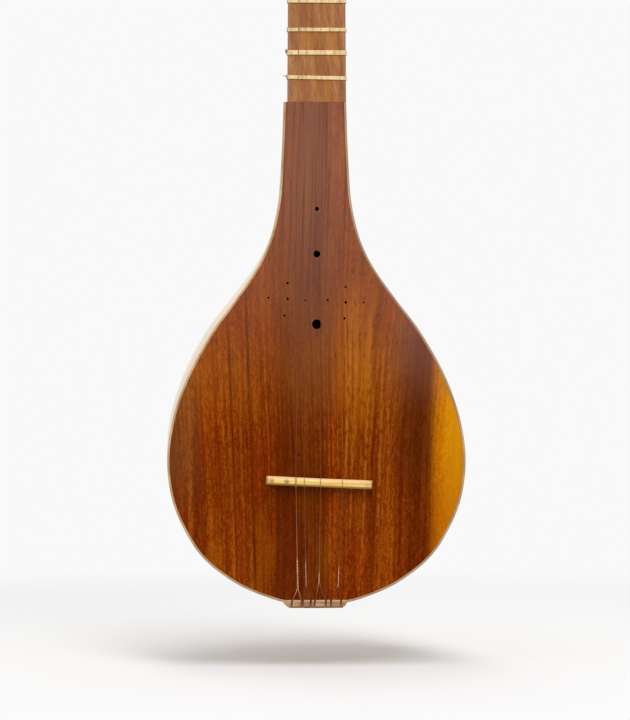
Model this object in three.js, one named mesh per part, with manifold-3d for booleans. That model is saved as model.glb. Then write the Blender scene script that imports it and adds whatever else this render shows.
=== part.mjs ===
import * as THREE from 'three';
import { mergeVertices } from 'three/addons/utils/BufferGeometryUtils.js';
import Module from 'manifold-3d';

// A setar: a long-necked lute with a pear-shaped bowl of glued staves, a thin soundboard,
// four wire strings, four friction pegs and gut frets tied round the neck.
// Millimetres. The neck runs up +Z, the soundboard faces -Y and +X is the viewer's right.
// The origin is the centre of the flat end face of the tailpiece.

// Clearances
const jointGap = 0.3;
const cutOverrun = 2;

// Bowl, from the tailpiece up to the joint with the neck
const bodyLength = 271;
const bodyHalfWidth = 80;
const bodyDepth = 127;
const staveCount = 9;
const staveThickness = 3;

// Soundboard and the strip round its edge
const soundboardThickness = 2.6;
const edgeStripWidth = 1.3;
const soundHoleRadii = [1.1, 1.85, 2.6];
const pinHoleRadius = 0.7;

// Blocks and braces inside the bowl
const tailBlockLength = 20;
const neckBlockLength = 38;
const tenonLength = 16;
const tenonWidth = 14;
const tenonDepth = 11;
const braceWidth = 4;
const braceDepth = 7;
const braceShares = [0.4, 0.63];

// Tailpiece: a toothed bar in front and a thin plate behind it over the ends of the staves
const tailHalfWidth = 16;
const tailTaper = 0.7;
const tailBarHeight = 4.5;
const tailPlateThickness = 2.6;
const tailProud = 1;
const slotDepth = 2.4;
const slotWidth = 1;
const sharedSlotWidth = 1.6;
const recessHeight = 1;

// Neck and head
const neckHalfWidthAtBody = 15.7;
const neckHalfWidthAtNut = 12.75;
const neckThicknessAtBody = 24.5;
const neckThicknessAtNut = 20;
const headLength = 104;
const headDrop = 2;
const headThickness = 21;
const headChamfer = 3;
const headRounding = 6;
const headBlend = 8;
const headEndRounding = 3;

// Strings
const stringLength = 650;
const stringHeightAtNut = 1.4;
const stringHeightAtBridge = 5.7;

// Nut
const nutThickness = 3;
const nutSeatDepth = 1.5;
const nutHeight = 1.9;

// Bridge
const bridgeLength = 57;
const bridgeOffset = 1.35;
const bridgeTopLength = 55;
const bridgeHeight = 6;
const bridgeThickness = 4.6;
const bridgeTopThickness = 1.6;
const bridgeArchHeight = 2.6;
const bridgeArchShare = 0.62;
const bridgeSkew = THREE.MathUtils.degToRad(2.7);

// Pegs
const pegShaftRadius = 3.3;
const pegSides = 12;
const knobRadius = 9.6;
const knobLength = 25;
const knobStandOff = 9;
const pegEndInset = 1;
// The knob's profile from the collar to the tip, as shares of its radius and length
const knobShares = [
  [0.5, 0.01], [0.56, 0.06], [0.4, 0.11], [0.38, 0.2], [0.62, 0.42],
  [0.96, 0.6], [1, 0.7], [0.88, 0.8], [0.5, 0.86], [0.22, 0.88], [0.26, 0.94], [0, 1],
];
const frontPegOffset = 2;
const windingStart = 1.2;
const windingTurns = 5;
const windingSteps = 12;
const windingGap = 0.45;

// Frets: one gut thread, three times round the neck; the last stands just above the bowl
const fretThread = 0.5;
const fretTurns = 3;
const fretTurnGap = 0.45;
const fretTailLength = 1.6;
const lastFretHeight = 13;

// How finely the curved pieces are divided
const bowlSteps = 26;
const neckArcSteps = 8;
const holeSegments = 5;
const stringSides = 6;
const threadSides = 4;

// A small step along a curve for its direction, and how often a search halves its range
const curveStep = 1e-3;
const halvings = 40;

// Where a side peg's string bends over the head's edge, as a share of the way from nut to peg
const edgeShare = 0.62;

// The four strings, from the viewer's left to right. Places across are shares of the bridge's and
// the neck's half widths. The loop closes and its twist ends at shares of the way from the tail to
// the bridge, and the peg is at a share of the head's length. Slots are the pair the loop lies in.
const strings = [
  {
    name: 'bass',
    finish: 'bronze',
    diameter: 0.4,
    slots: [0, 1],
    bridgeShare: -0.43,
    nutShare: -0.58,
    loopShare: 0.159,
    twistShare: 0.382,
    peg: 'side',
    pegShare: 0.394,
  },
  {
    name: 'drone',
    finish: 'steel',
    diameter: 0.18,
    slots: [1, 2],
    bridgeShare: -0.272,
    nutShare: -0.28,
    loopShare: 0.19,
    twistShare: 0.373,
    peg: 'side',
    pegShare: 0.808,
  },
  {
    name: 'middle',
    finish: 'bronze',
    diameter: 0.22,
    slots: [3, 4],
    bridgeShare: 0.047,
    nutShare: 0.19,
    loopShare: 0.206,
    twistShare: 0.275,
    peg: 'front',
    tangentSide: 1,
    pegShare: 0.192,
  },
  {
    name: 'treble',
    finish: 'steel',
    diameter: 0.2,
    slots: [5, 6],
    bridgeShare: 0.44,
    nutShare: 0.745,
    loopShare: 0.19,
    twistShare: 0.318,
    peg: 'front',
    tangentSide: 1,
    pegShare: 0.596,
  },
];
const slotShares = [-0.82, -0.49, -0.2, -0.06, 0.3, 0.475, 0.81];
const sharedSlot = 1;

// Frets by their pitch above the open string, in cents
const fretCents = [
  90, 140, 204, 294, 345, 408, 498, 565, 612, 702, 792, 843, 906,
  996, 1047, 1110, 1200, 1290, 1340, 1404, 1494, 1545, 1602, 1708, 1798, 1902,
];

// The bowl's stations from the tail to the neck: height above the tailpiece's plate, half width
// and depth behind the soundboard, as shares of the bowl's length, half width and depth, and
// how far its sides swell past the rim, as a share of the half width
const bowlShares = [
  [0, 0.195, 0.12, 0],
  [0.0052, 0.267, 0.19, 0],
  [0.025, 0.446, 0.37, 0],
  [0.0451, 0.572, 0.505, 0],
  [0.085, 0.743, 0.68, 0],
  [0.125, 0.846, 0.79, 0],
  [0.205, 0.966, 0.928, 0.01],
  [0.285, 1, 0.992, 0.03],
  [0.358, 0.97, 1, 0.095],
  [0.444, 0.875, 0.955, 0.14],
  [0.544, 0.69, 0.845, 0.19],
  [0.604, 0.541, 0.742, 0.195],
  [0.664, 0.401, 0.618, 0.175],
  [0.704, 0.33, 0.53, 0.12],
  [0.743, 0.284, 0.448, 0.06],
  [0.803, 0.243, 0.34, 0.05],
  [0.903, 0.22, 0.228, 0.05],
  [1, 0.209, 0.172, 0.05],
];

// Sound holes on the centre line, as shares of the body's length
const soundHoleShares = [0.789, 0.7, 0.561];
// Pin holes: centre of each cross of five as shares of half width and length, and its arms
const pinCrossShares = [[-0.197, 0.609], [0.189, 0.603]];
const pinArmAcross = 9.9;
const pinArmAlong = 8.9;

// Places that follow from the sizes above
const bowlBottom = tailPlateThickness + jointGap;
const rimDepth = soundboardThickness + jointGap;
const endDepth = bodyDepth * bowlShares[0][2];
const tailSwell = bowlShares[0][3];
const neckSwell = bowlShares[bowlShares.length - 1][3];
const slotFloor = slotDepth - tailProud;
const boardFront = -(slotFloor + rimDepth + endDepth) / 2;
const rimFront = boardFront + rimDepth;
const lastFretShare = 2 ** (-Math.max(...fretCents) / 1200);
const bridgePlace = bodyLength + lastFretHeight - stringLength * lastFretShare;
const nutZ = bridgePlace + stringLength;
const headFront = boardFront + headDrop;
const headTop = nutZ + headLength;
const sidePegDepth = headFront + headThickness / 2;

const wasm = await Module();
wasm.setup();

const setar = new THREE.Group();

const material = (colour, roughness, metalness = 0) =>
  new THREE.MeshStandardMaterial({ color: colour, roughness, metalness });
const finishes = {
  board: material(0x7d370f, 0.4),
  stave: material(0xc79a5f, 0.35),
  staveDark: material(0xb2824a, 0.35),
  strip: material(0xd8bd8e, 0.5),
  neck: material(0xa0693f, 0.45),
  inner: material(0xc9a877, 0.8),
  bone: material(0xeadfc2, 0.4),
  tail: material(0xbe9669, 0.5),
  bridge: material(0xe3bf7e, 0.5),
  peg: material(0x4a2a18, 0.35),
  gut: material(0xe9d3a0, 0.45),
  steel: material(0xb9bcc0, 0.3, 1),
  bronze: material(0xb98a4a, 0.35, 1),
};

function addMesh(name, geometry, finish) {
  const flat = geometry.index ? geometry.toNonIndexed() : geometry;
  flat.computeVertexNormals();
  const mesh = new THREE.Mesh(flat, finish);
  mesh.name = name;
  setar.add(mesh);
  return mesh;
}

// Cuts and joins
function solidOf(geometry) {
  const bare = geometry.clone();
  bare.deleteAttribute('normal');
  bare.deleteAttribute('uv');
  const merged = mergeVertices(bare, 1e-4);
  return new wasm.Manifold(new wasm.Mesh({
    numProp: 3,
    vertProperties: new Float32Array(merged.attributes.position.array),
    triVerts: new Uint32Array(merged.index.array),
  }));
}

function geometryOf(solid) {
  const mesh = solid.getMesh();
  const geometry = new THREE.BufferGeometry();
  geometry.setAttribute('position', new THREE.BufferAttribute(new Float32Array(mesh.vertProperties), 3));
  geometry.setIndex(new THREE.BufferAttribute(new Uint32Array(mesh.triVerts), 1));
  return geometry;
}

const subtract = (geometry, ...tools) =>
  geometryOf(tools.reduce((left, tool) => left.subtract(solidOf(tool)), solidOf(geometry)));
const unite = (geometry, ...others) =>
  geometryOf(others.reduce((sum, other) => sum.add(solidOf(other)), solidOf(geometry)));
const intersect = (geometry, tool) =>
  geometryOf(solidOf(geometry).intersect(solidOf(tool)));

function boxBetween(low, high) {
  const size = high.clone().sub(low);
  const middle = high.clone().add(low).multiplyScalar(0.5);
  return new THREE.BoxGeometry(size.x, size.y, size.z).translate(middle.x, middle.y, middle.z);
}

// A closed solid through a list of rings with the same number of points. Each end is closed
// by the strip between the ring's first half and its second.
function loft(rings) {
  const count = rings[0].length;
  const points = rings.flat();
  const faces = [];
  for (let r = 0; r + 1 < rings.length; r++) {
    for (let k = 0; k < count; k++) {
      const a = r * count + k;
      const b = r * count + (k + 1) % count;
      faces.push(a, b, b + count, a, b + count, a + count);
    }
  }
  const last = (rings.length - 1) * count;
  for (let k = 0; k < count - 2 - k; k++) {
    const near = [k, k + 1, count - 2 - k, count - 1 - k];
    faces.push(near[0], near[2], near[1], near[0], near[3], near[2]);
    faces.push(last + near[0], last + near[1], last + near[2]);
    faces.push(last + near[0], last + near[2], last + near[3]);
  }
  const proper = [];
  for (let f = 0; f < faces.length; f += 3) {
    const [a, b, c] = faces.slice(f, f + 3);
    if (a !== b && b !== c && c !== a) proper.push(a, b, c);
  }
  let volume = 0;
  for (let f = 0; f < proper.length; f += 3) {
    const [a, b, c] = proper.slice(f, f + 3).map((i) => points[i]);
    volume += a.dot(new THREE.Vector3().crossVectors(b, c));
  }
  if (volume < 0) proper.reverse();
  const geometry = new THREE.BufferGeometry().setFromPoints(points);
  geometry.setIndex(proper);
  return geometry;
}

// A round or square wire along a list of points, with its corners mitred
function wire(points, radius, sides) {
  const rings = [];
  let across = null;
  for (let i = 0; i < points.length; i++) {
    const before = points[Math.max(i - 1, 0)];
    const after = points[Math.min(i + 1, points.length - 1)];
    const into = points[i].clone().sub(before).normalize();
    const out = after.clone().sub(points[i]).normalize();
    const tangent = into.clone().add(out).normalize();
    if (!across) {
      across = Math.abs(tangent.z) < 0.9 ? new THREE.Vector3(0, 0, 1) : new THREE.Vector3(1, 0, 0);
    }
    across = across.clone().addScaledVector(tangent, -across.dot(tangent)).normalize();
    const up = new THREE.Vector3().crossVectors(tangent, across);
    const bend = i > 0 && i + 1 < points.length ? Math.sqrt((1 + into.dot(out)) / 2) : 1;
    const outward = out.clone().sub(into);
    const hasBend = outward.length() > 1e-6;
    if (hasBend) outward.normalize();
    const ring = [];
    for (let s = 0; s < sides; s++) {
      const angle = (s + 0.5) * 2 * Math.PI / sides;
      const offset = across.clone().multiplyScalar(radius * Math.cos(angle))
        .addScaledVector(up, radius * Math.sin(angle));
      if (hasBend) offset.addScaledVector(outward, offset.dot(outward) * (1 / bend - 1));
      ring.push(points[i].clone().add(offset));
    }
    rings.push(ring);
  }
  return loft(rings);
}

// The least gap that a winding's wire leaves to itself, between points half a turn apart or more
function leastGap(points, diameter, stepsPerTurn) {
  let least = Infinity;
  const apart = Math.ceil(stepsPerTurn / 2);
  for (let i = 0; i < points.length; i++) {
    for (let j = i + apart; j < points.length; j++) {
      least = Math.min(least, points[i].distanceTo(points[j]) - diameter);
    }
  }
  return least;
}

// The bowl's outer surface, by the share t of the way from the tail to the neck and the angle
// round the back, from -90 degrees at the left rim to 90 at the right
const bowlHeight = bodyLength - bowlBottom;
const bowlCurve = new THREE.CatmullRomCurve3(bowlShares.map(([height, width, depth]) =>
  new THREE.Vector3(width * bodyHalfWidth, depth * bodyDepth, bowlBottom + height * bowlHeight)));
const swellPoints = bowlShares.map(([, , , swell]) => new THREE.Vector3(swell, 0, 0));
const swellCurve = new THREE.CatmullRomCurve3(swellPoints, false, 'catmullrom');

function crossSection(halfWidth, depth, front, swell, angle) {
  const x = halfWidth * (Math.sin(angle) + swell * Math.sin(2 * angle));
  return new THREE.Vector2(x, front + depth * Math.cos(angle));
}

function bowlSurface(t, angle) {
  const station = bowlCurve.getPoint(t);
  const place = crossSection(station.x, station.y, rimFront, swellCurve.getPoint(t).x, angle);
  return new THREE.Vector3(place.x, place.y, station.z);
}

function bowlPoint(t, angle, inset) {
  const low = Math.max(t - curveStep, 0);
  const high = Math.min(t + curveStep, 1);
  const along = bowlSurface(high, angle).sub(bowlSurface(low, angle));
  const around = bowlSurface(t, angle + curveStep).sub(bowlSurface(t, angle - curveStep));
  const normal = new THREE.Vector3().crossVectors(around, along).normalize();
  const point = bowlSurface(t, angle);
  const outward = new THREE.Vector3(Math.sin(angle), Math.cos(angle), 0);
  if (normal.dot(outward) < 0) normal.negate();
  point.addScaledVector(normal, -inset);
  if (Math.abs(Math.abs(angle) - Math.PI / 2) < 1e-9) point.y = rimFront;
  return point;
}

// The rim seen from the front, moved inwards by a distance in its own plane
function rimPoint(t, inset) {
  const point = bowlCurve.getPoint(t);
  const after = bowlCurve.getPoint(Math.min(t + curveStep, 1));
  const along = after.sub(bowlCurve.getPoint(Math.max(t - curveStep, 0)));
  const normal = new THREE.Vector2(along.z, -along.x).normalize();
  return new THREE.Vector2(point.x - inset * normal.x, point.z - inset * normal.y);
}

// Where the rim passes the side of the tailpiece
function rimStart() {
  let low = 0;
  let high = 1 / 4;
  for (let i = 0; i < halvings; i++) {
    const middle = (low + high) / 2;
    if (bowlCurve.getPoint(middle).x < tailHalfWidth + jointGap) low = middle;
    else high = middle;
  }
  return high;
}
const rimFirst = rimStart();
const rimTimes = Array.from({ length: bowlSteps + 1 }, (_, i) => rimFirst + (1 - rimFirst) * i / bowlSteps);

// Staves: each is a strip of the bowl's wall between two angles, a joint's gap from its neighbours
for (let stave = 0; stave < staveCount; stave++) {
  const from = -Math.PI / 2 + stave * Math.PI / staveCount;
  const to = from + Math.PI / staveCount;
  const rings = [];
  for (let i = 0; i <= bowlSteps; i++) {
    const t = i / bowlSteps;
    const inwards = (angle) => {
      const before = bowlSurface(t, angle - curveStep);
      const after = bowlSurface(t, angle + curveStep);
      return jointGap * curveStep / before.distanceTo(after);
    };
    const first = stave === 0 ? from : from + inwards(from);
    const second = stave === staveCount - 1 ? to : to - inwards(to);
    const angles = [first, (first + second) / 2, second];
    rings.push([
      ...angles.map((angle) => bowlPoint(t, angle, 0)),
      ...angles.reverse().map((angle) => bowlPoint(t, angle, staveThickness)),
    ]);
  }
  addMesh(`stave_${stave + 1}`, loft(rings), stave % 2 ? finishes.staveDark : finishes.stave);
}

// The space inside the bowl, less a joint's gap, that the two end blocks are cut from
function innerSpace() {
  const inset = staveThickness + jointGap;
  const rings = [];
  for (let i = 0; i <= bowlSteps; i++) {
    const ring = [];
    for (let k = 0; k <= 2 * staveCount; k++) {
      const angle = -Math.PI / 2 + k * Math.PI / (2 * staveCount);
      ring.push(bowlPoint(i / bowlSteps, angle, inset));
    }
    rings.push(ring);
  }
  const plug = rings[0].map((p) => new THREE.Vector3(
    p.x - Math.sign(p.x) * jointGap,
    Math.max(rimFront, p.y - jointGap),
    bowlBottom,
  ));
  return loft([plug, ...rings]);
}
const inside = innerSpace();
const blockReach = bodyHalfWidth + bodyDepth;

function slice(low, high) {
  return boxBetween(
    new THREE.Vector3(-blockReach, rimFront, low),
    new THREE.Vector3(blockReach, blockReach, high),
  );
}

addMesh('tail_block', intersect(inside, slice(-cutOverrun, bowlBottom + tailBlockLength)), finishes.inner);

const tenonFront = boardFront + (neckThicknessAtBody - tenonDepth) / 2;
const tenonHalf = tenonWidth / 2;
const mortise = boxBetween(
  new THREE.Vector3(-tenonHalf - jointGap, tenonFront - jointGap, bodyLength - tenonLength - jointGap),
  new THREE.Vector3(tenonHalf + jointGap, tenonFront + tenonDepth + jointGap, bodyLength + cutOverrun),
);
const neckBlock = intersect(inside, slice(bodyLength - neckBlockLength, bodyLength + cutOverrun));
addMesh('neck_block', subtract(neckBlock, mortise), finishes.inner);

// Soundboard with its sound holes
function soundboardOutline() {
  const inset = edgeStripWidth + jointGap;
  const bottom = tailBarHeight + jointGap;
  const right = rimTimes.map((t) => rimPoint(t, inset)).filter((p) => p.y > bottom && p.x > 0);
  right.unshift(new THREE.Vector2(tailHalfWidth, bottom));
  right[right.length - 1].y = bodyLength;
  const left = right.map((p) => new THREE.Vector2(-p.x, p.y)).reverse();
  return [...right, ...left];
}

// A flat plate in the soundboard's plane, from an outline in X and Z
function plate(shape, front, thickness) {
  const geometry = new THREE.ExtrudeGeometry(shape, {
    depth: thickness,
    bevelEnabled: false,
    curveSegments: holeSegments,
  });
  return geometry.rotateX(Math.PI / 2).translate(0, front + thickness, 0);
}

const boardShape = new THREE.Shape(soundboardOutline());
const holes = soundHoleShares.map((share, i) => [0, share * bodyLength, soundHoleRadii[i]]);
for (const [across, along] of pinCrossShares) {
  const x = across * bodyHalfWidth;
  const z = along * bodyLength;
  holes.push([x, z, pinHoleRadius]);
  holes.push([x - pinArmAcross, z, pinHoleRadius], [x + pinArmAcross, z, pinHoleRadius]);
  holes.push([x, z - pinArmAlong, pinHoleRadius], [x, z + pinArmAlong, pinHoleRadius]);
}
for (const [x, z, radius] of holes) {
  const hole = new THREE.Path();
  hole.absarc(x, z, radius, 0, 2 * Math.PI, true);
  boardShape.holes.push(hole);
}
addMesh('soundboard', plate(boardShape, boardFront, soundboardThickness), finishes.board);

// Edge strips: they close the joint between the soundboard and the staves
for (const [name, side] of [['edge_strip_left', -1], ['edge_strip_right', 1]]) {
  const rings = rimTimes.map((t) => {
    const outer = rimPoint(t, 0);
    const inner = rimPoint(t, edgeStripWidth);
    const back = boardFront + soundboardThickness;
    return [
      new THREE.Vector3(side * outer.x, boardFront, outer.y),
      new THREE.Vector3(side * outer.x, back, outer.y),
      new THREE.Vector3(side * inner.x, back, inner.y),
      new THREE.Vector3(side * inner.x, boardFront, inner.y),
    ];
  });
  addMesh(name, loft(rings), finishes.strip);
}

function timeAtHeight(z) {
  let low = 0;
  let high = 1;
  for (let i = 0; i < halvings; i++) {
    const middle = (low + high) / 2;
    if (bowlCurve.getPoint(middle).z < z) low = middle;
    else high = middle;
  }
  return high;
}

// Braces: two bars under the soundboard, from wall to wall
braceShares.forEach((share, i) => {
  const t = timeAtHeight(share * bodyLength);
  const half = rimPoint(t, staveThickness + 2 * jointGap).x;
  const z = share * bodyLength;
  const brace = boxBetween(
    new THREE.Vector3(-half, rimFront, z - braceWidth / 2),
    new THREE.Vector3(half, rimFront + braceDepth, z + braceWidth / 2),
  );
  addMesh(`brace_${i + 1}`, intersect(brace, inside), finishes.inner);
});

// Tailpiece
const slots = slotShares.map((share, i) => ({
  x: share * tailHalfWidth,
  width: i === sharedSlot ? sharedSlotWidth : slotWidth,
}));

function tailpiece() {
  const barFront = boardFront - tailProud;
  const bar = new THREE.Shape([
    new THREE.Vector2(-tailHalfWidth + tailTaper, 0),
    new THREE.Vector2(tailHalfWidth - tailTaper, 0),
    new THREE.Vector2(tailHalfWidth, tailBarHeight),
    new THREE.Vector2(-tailHalfWidth, tailBarHeight),
  ]);
  const barBack = boardFront + soundboardThickness;
  const plateOutline = [];
  for (let k = 0; k <= 2 * staveCount; k++) {
    const angle = Math.PI / 2 - k * Math.PI / (2 * staveCount);
    plateOutline.push(crossSection(tailHalfWidth - tailTaper, endDepth, rimFront, tailSwell, angle));
  }
  plateOutline.push(new THREE.Vector2(tailTaper - tailHalfWidth, barBack - slotFloor / 2));
  plateOutline.push(new THREE.Vector2(tailHalfWidth - tailTaper, barBack - slotFloor / 2));
  const backPlate = new THREE.ExtrudeGeometry(new THREE.Shape(plateOutline), {
    depth: tailPlateThickness,
    bevelEnabled: false,
  });
  const cuts = slots.map(({ x, width }) => boxBetween(
    new THREE.Vector3(x - width / 2, barFront - cutOverrun, -cutOverrun),
    new THREE.Vector3(x + width / 2, barFront + slotDepth, tailBarHeight + cutOverrun),
  ));
  cuts.push(boxBetween(
    new THREE.Vector3(-tailHalfWidth - cutOverrun, barFront - cutOverrun, -cutOverrun),
    new THREE.Vector3(tailHalfWidth + cutOverrun, barFront + slotDepth, recessHeight),
  ));
  return subtract(unite(plate(bar, barFront, barBack - barFront), backPlate), ...cuts);
}
addMesh('tailpiece', tailpiece(), finishes.tail);

// Neck and head in one piece, rounded at the back
function neckSize(z) {
  const share = (z - bodyLength) / (nutZ - bodyLength);
  return {
    halfWidth: THREE.MathUtils.lerp(neckHalfWidthAtBody, neckHalfWidthAtNut, share),
    thickness: THREE.MathUtils.lerp(neckThicknessAtBody, neckThicknessAtNut, share),
  };
}

function neckRing(z) {
  const { halfWidth, thickness } = neckSize(z);
  const ring = [];
  for (let k = 0; k <= neckArcSteps; k++) {
    const angle = -Math.PI / 2 + k * Math.PI / neckArcSteps;
    const place = crossSection(halfWidth, thickness, boardFront, neckSwell, angle);
    ring.push(new THREE.Vector3(place.x, place.y, z));
  }
  return ring;
}

function headRing(z, inset) {
  const half = neckHalfWidthAtNut - inset;
  const back = headFront + headThickness - inset;
  const front = headFront + inset;
  const shoulder = headRounding / 3;
  const right = [
    [half - headChamfer, front],
    [half, front + headChamfer],
    [half, back - headRounding],
    [half - shoulder, back - shoulder],
  ];
  const left = right.map(([x, y]) => [-x, y]);
  return [...left, [0, back], ...right.reverse()].map(([x, y]) => new THREE.Vector3(x, y, z));
}

function pegHole(radius, string) {
  const { face, depth } = pegAxis(string);
  const hole = new THREE.CylinderGeometry(radius, radius, depth + 2 * cutOverrun, pegSides);
  return string.peg === 'side'
    ? hole.rotateZ(Math.PI / 2).translate(face.x + depth / 2, face.y, face.z)
    : hole.translate(face.x, face.y + depth / 2, face.z);
}

function neck() {
  const nutBack = nutZ + nutThickness / 2;
  const shaft = loft([
    neckRing(bodyLength + jointGap),
    neckRing(nutBack),
    headRing(nutBack + headBlend, 0),
    headRing(headTop - headEndRounding, 0),
    headRing(headTop, headEndRounding),
  ]);
  const tenon = boxBetween(
    new THREE.Vector3(-tenonHalf, tenonFront, bodyLength - tenonLength),
    new THREE.Vector3(tenonHalf, tenonFront + tenonDepth, bodyLength + cutOverrun),
  );
  const nutSeat = boxBetween(
    new THREE.Vector3(-neckHalfWidthAtBody, boardFront - cutOverrun, nutZ - nutThickness / 2 - jointGap),
    new THREE.Vector3(neckHalfWidthAtBody, boardFront + nutSeatDepth, nutZ + nutThickness / 2 + jointGap),
  );
  const holeRadius = (pegShaftRadius + jointGap) / Math.cos(Math.PI / pegSides);
  const drills = strings.map((string) => pegHole(holeRadius, string));
  return subtract(unite(shaft, tenon), nutSeat, ...drills);
}
addMesh('neck', neck(), finishes.neck);

// Nut and bridge: an outline across the strings, with a groove for each, and its height towards -Y
const stringNutX = (string) => string.nutShare * neckHalfWidthAtNut;
const stringBridgeX = (string) => bridgeOffset + string.bridgeShare * bridgeLength / 2;
const radiusOf = (string) => string.diameter / 2;

function groovedTop(half, top, grooves) {
  const points = [new THREE.Vector2(-half, top)];
  for (const { x, width, floor } of grooves) {
    points.push(new THREE.Vector2(x - width / 2, top), new THREE.Vector2(x - width / 2, floor));
    points.push(new THREE.Vector2(x + width / 2, floor), new THREE.Vector2(x + width / 2, top));
  }
  points.push(new THREE.Vector2(half, top));
  return points;
}

function grooveFor(string, x, height) {
  return {
    x,
    width: string.diameter + 2 * jointGap,
    floor: height - radiusOf(string) - jointGap,
  };
}

function acrossStrings(points, thickness) {
  const geometry = new THREE.ExtrudeGeometry(new THREE.Shape(points), {
    depth: thickness,
    bevelEnabled: false,
  });
  return geometry.translate(0, 0, -thickness / 2).rotateX(Math.PI);
}

const nutHalf = neckHalfWidthAtNut - jointGap;
const nutFoot = jointGap - nutSeatDepth;
const nutOutline = [
  ...groovedTop(nutHalf, nutHeight, strings.map((string) =>
    grooveFor(string, stringNutX(string), stringHeightAtNut))),
  new THREE.Vector2(nutHalf, nutFoot),
  new THREE.Vector2(-nutHalf, nutFoot),
];
addMesh('nut', acrossStrings(nutOutline, nutThickness).translate(0, boardFront, nutZ), finishes.bone);

function bridge() {
  const half = bridgeLength / 2;
  const grooves = strings.map((string) =>
    grooveFor(string, (stringBridgeX(string) - bridgeOffset) / Math.cos(bridgeSkew), stringHeightAtBridge));
  const archHalf = half * bridgeArchShare;
  const archTopHalf = archHalf - bridgeArchHeight;
  const outline = [
    ...groovedTop(bridgeTopLength / 2, bridgeHeight, grooves),
    new THREE.Vector2(half, jointGap),
    new THREE.Vector2(archHalf, jointGap),
    new THREE.Vector2(archTopHalf, bridgeArchHeight),
    new THREE.Vector2(-archTopHalf, bridgeArchHeight),
    new THREE.Vector2(-archHalf, jointGap),
    new THREE.Vector2(-half, jointGap),
  ];
  const geometry = acrossStrings(outline, bridgeThickness);
  const place = geometry.getAttribute('position');
  const narrowing = 1 - bridgeTopThickness / bridgeThickness;
  for (let i = 0; i < place.count; i++) {
    place.setZ(i, place.getZ(i) * (1 + narrowing * place.getY(i) / bridgeHeight));
  }
  return geometry.rotateY(bridgeSkew).translate(bridgeOffset, boardFront, bridgePlace);
}
addMesh('bridge', bridge(), finishes.bridge);

// Pegs: a round shaft through the head and a turned knob, along the peg's own axis from the
// end of the shaft to the tip of the knob; the axis starts at the head's face
function pegAxis(string) {
  const side = string.peg === 'side';
  const z = nutZ + string.pegShare * headLength;
  return side
    ? { face: new THREE.Vector3(-neckHalfWidthAtNut, sidePegDepth, z), depth: 2 * neckHalfWidthAtNut }
    : { face: new THREE.Vector3(frontPegOffset, headFront, z), depth: headThickness };
}

// From a point on the peg's axis, a distance out from the head's face, to a place in the instrument
function onPeg(string, out, radius, angle) {
  const { face } = pegAxis(string);
  const along = radius * Math.cos(angle);
  const over = radius * Math.sin(angle);
  return string.peg === 'side'
    ? new THREE.Vector3(face.x - out, face.y + over, face.z + along)
    : new THREE.Vector3(face.x + over, face.y - out, face.z + along);
}

function peg(string) {
  const { face, depth } = pegAxis(string);
  const end = pegEndInset - depth;
  const profile = [
    new THREE.Vector2(0, end),
    new THREE.Vector2(pegShaftRadius, end),
    new THREE.Vector2(pegShaftRadius, knobStandOff),
    ...knobShares.map(([radius, height]) =>
      new THREE.Vector2(radius * knobRadius, knobStandOff + height * knobLength)),
  ];
  const geometry = new THREE.LatheGeometry(profile, pegSides);
  if (string.peg === 'side') geometry.rotateZ(Math.PI / 2);
  else geometry.rotateX(Math.PI);
  return geometry.translate(face.x, face.y, face.z);
}
for (const string of strings) {
  addMesh(`peg_${string.name}`, peg(string), finishes.peg);
}

// Windings: the string's last turns, one unbroken wire round each peg's shaft
const windingRadius = (string) => pegShaftRadius + jointGap + radiusOf(string);
const windingPitch = (string) => string.diameter + windingGap;

function windingRoute(string) {
  const route = [];
  for (let i = 0; i <= windingTurns * windingSteps; i++) {
    const turn = i / windingSteps;
    const out = windingStart + radiusOf(string) + turn * windingPitch(string);
    route.push(onPeg(string, out, windingRadius(string), turn * 2 * Math.PI));
  }
  return route;
}

let least = Infinity;
for (const string of strings) {
  const route = windingRoute(string);
  least = Math.min(least, leastGap(route, string.diameter, windingSteps));
  addMesh(`winding_${string.name}`, wire(route, radiusOf(string), threadSides), finishes[string.finish]);
}

// Strings: from the loop round a tooth of the tailpiece, twisted on itself, over the bridge and
// the nut, to where it meets its winding. Strings of the side pegs bend over the head's edge.
function tangentPoint(from, centre, radius, side) {
  const away = new THREE.Vector2().subVectors(from, centre);
  const angle = away.angle() + side * Math.acos(radius / away.length());
  return new THREE.Vector2(centre.x + radius * Math.cos(angle), centre.y + radius * Math.sin(angle));
}

function stringEnd(string, from) {
  const { face } = pegAxis(string);
  const reach = windingRadius(string) + 2 * radiusOf(string) + jointGap;
  const out = windingStart + radiusOf(string) + (windingTurns - 1 / 2) * windingPitch(string);
  if (string.peg === 'side') {
    const centre = new THREE.Vector2(face.y, face.z);
    const place = tangentPoint(new THREE.Vector2(from.y, from.z), centre, reach, -1);
    return new THREE.Vector3(face.x - out, place.x, place.y);
  }
  const centre = new THREE.Vector2(face.x, face.z);
  const place = tangentPoint(new THREE.Vector2(from.x, from.z), centre, reach, string.tangentSide);
  return new THREE.Vector3(place.x, face.y - out, place.y);
}

function toothOf(string) {
  const [left, right] = string.slots.map((i) => slots[i]);
  const clear = jointGap + radiusOf(string);
  return {
    left: left.x + left.width / 2 - clear,
    right: right.x - right.width / 2 + clear,
  };
}

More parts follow.
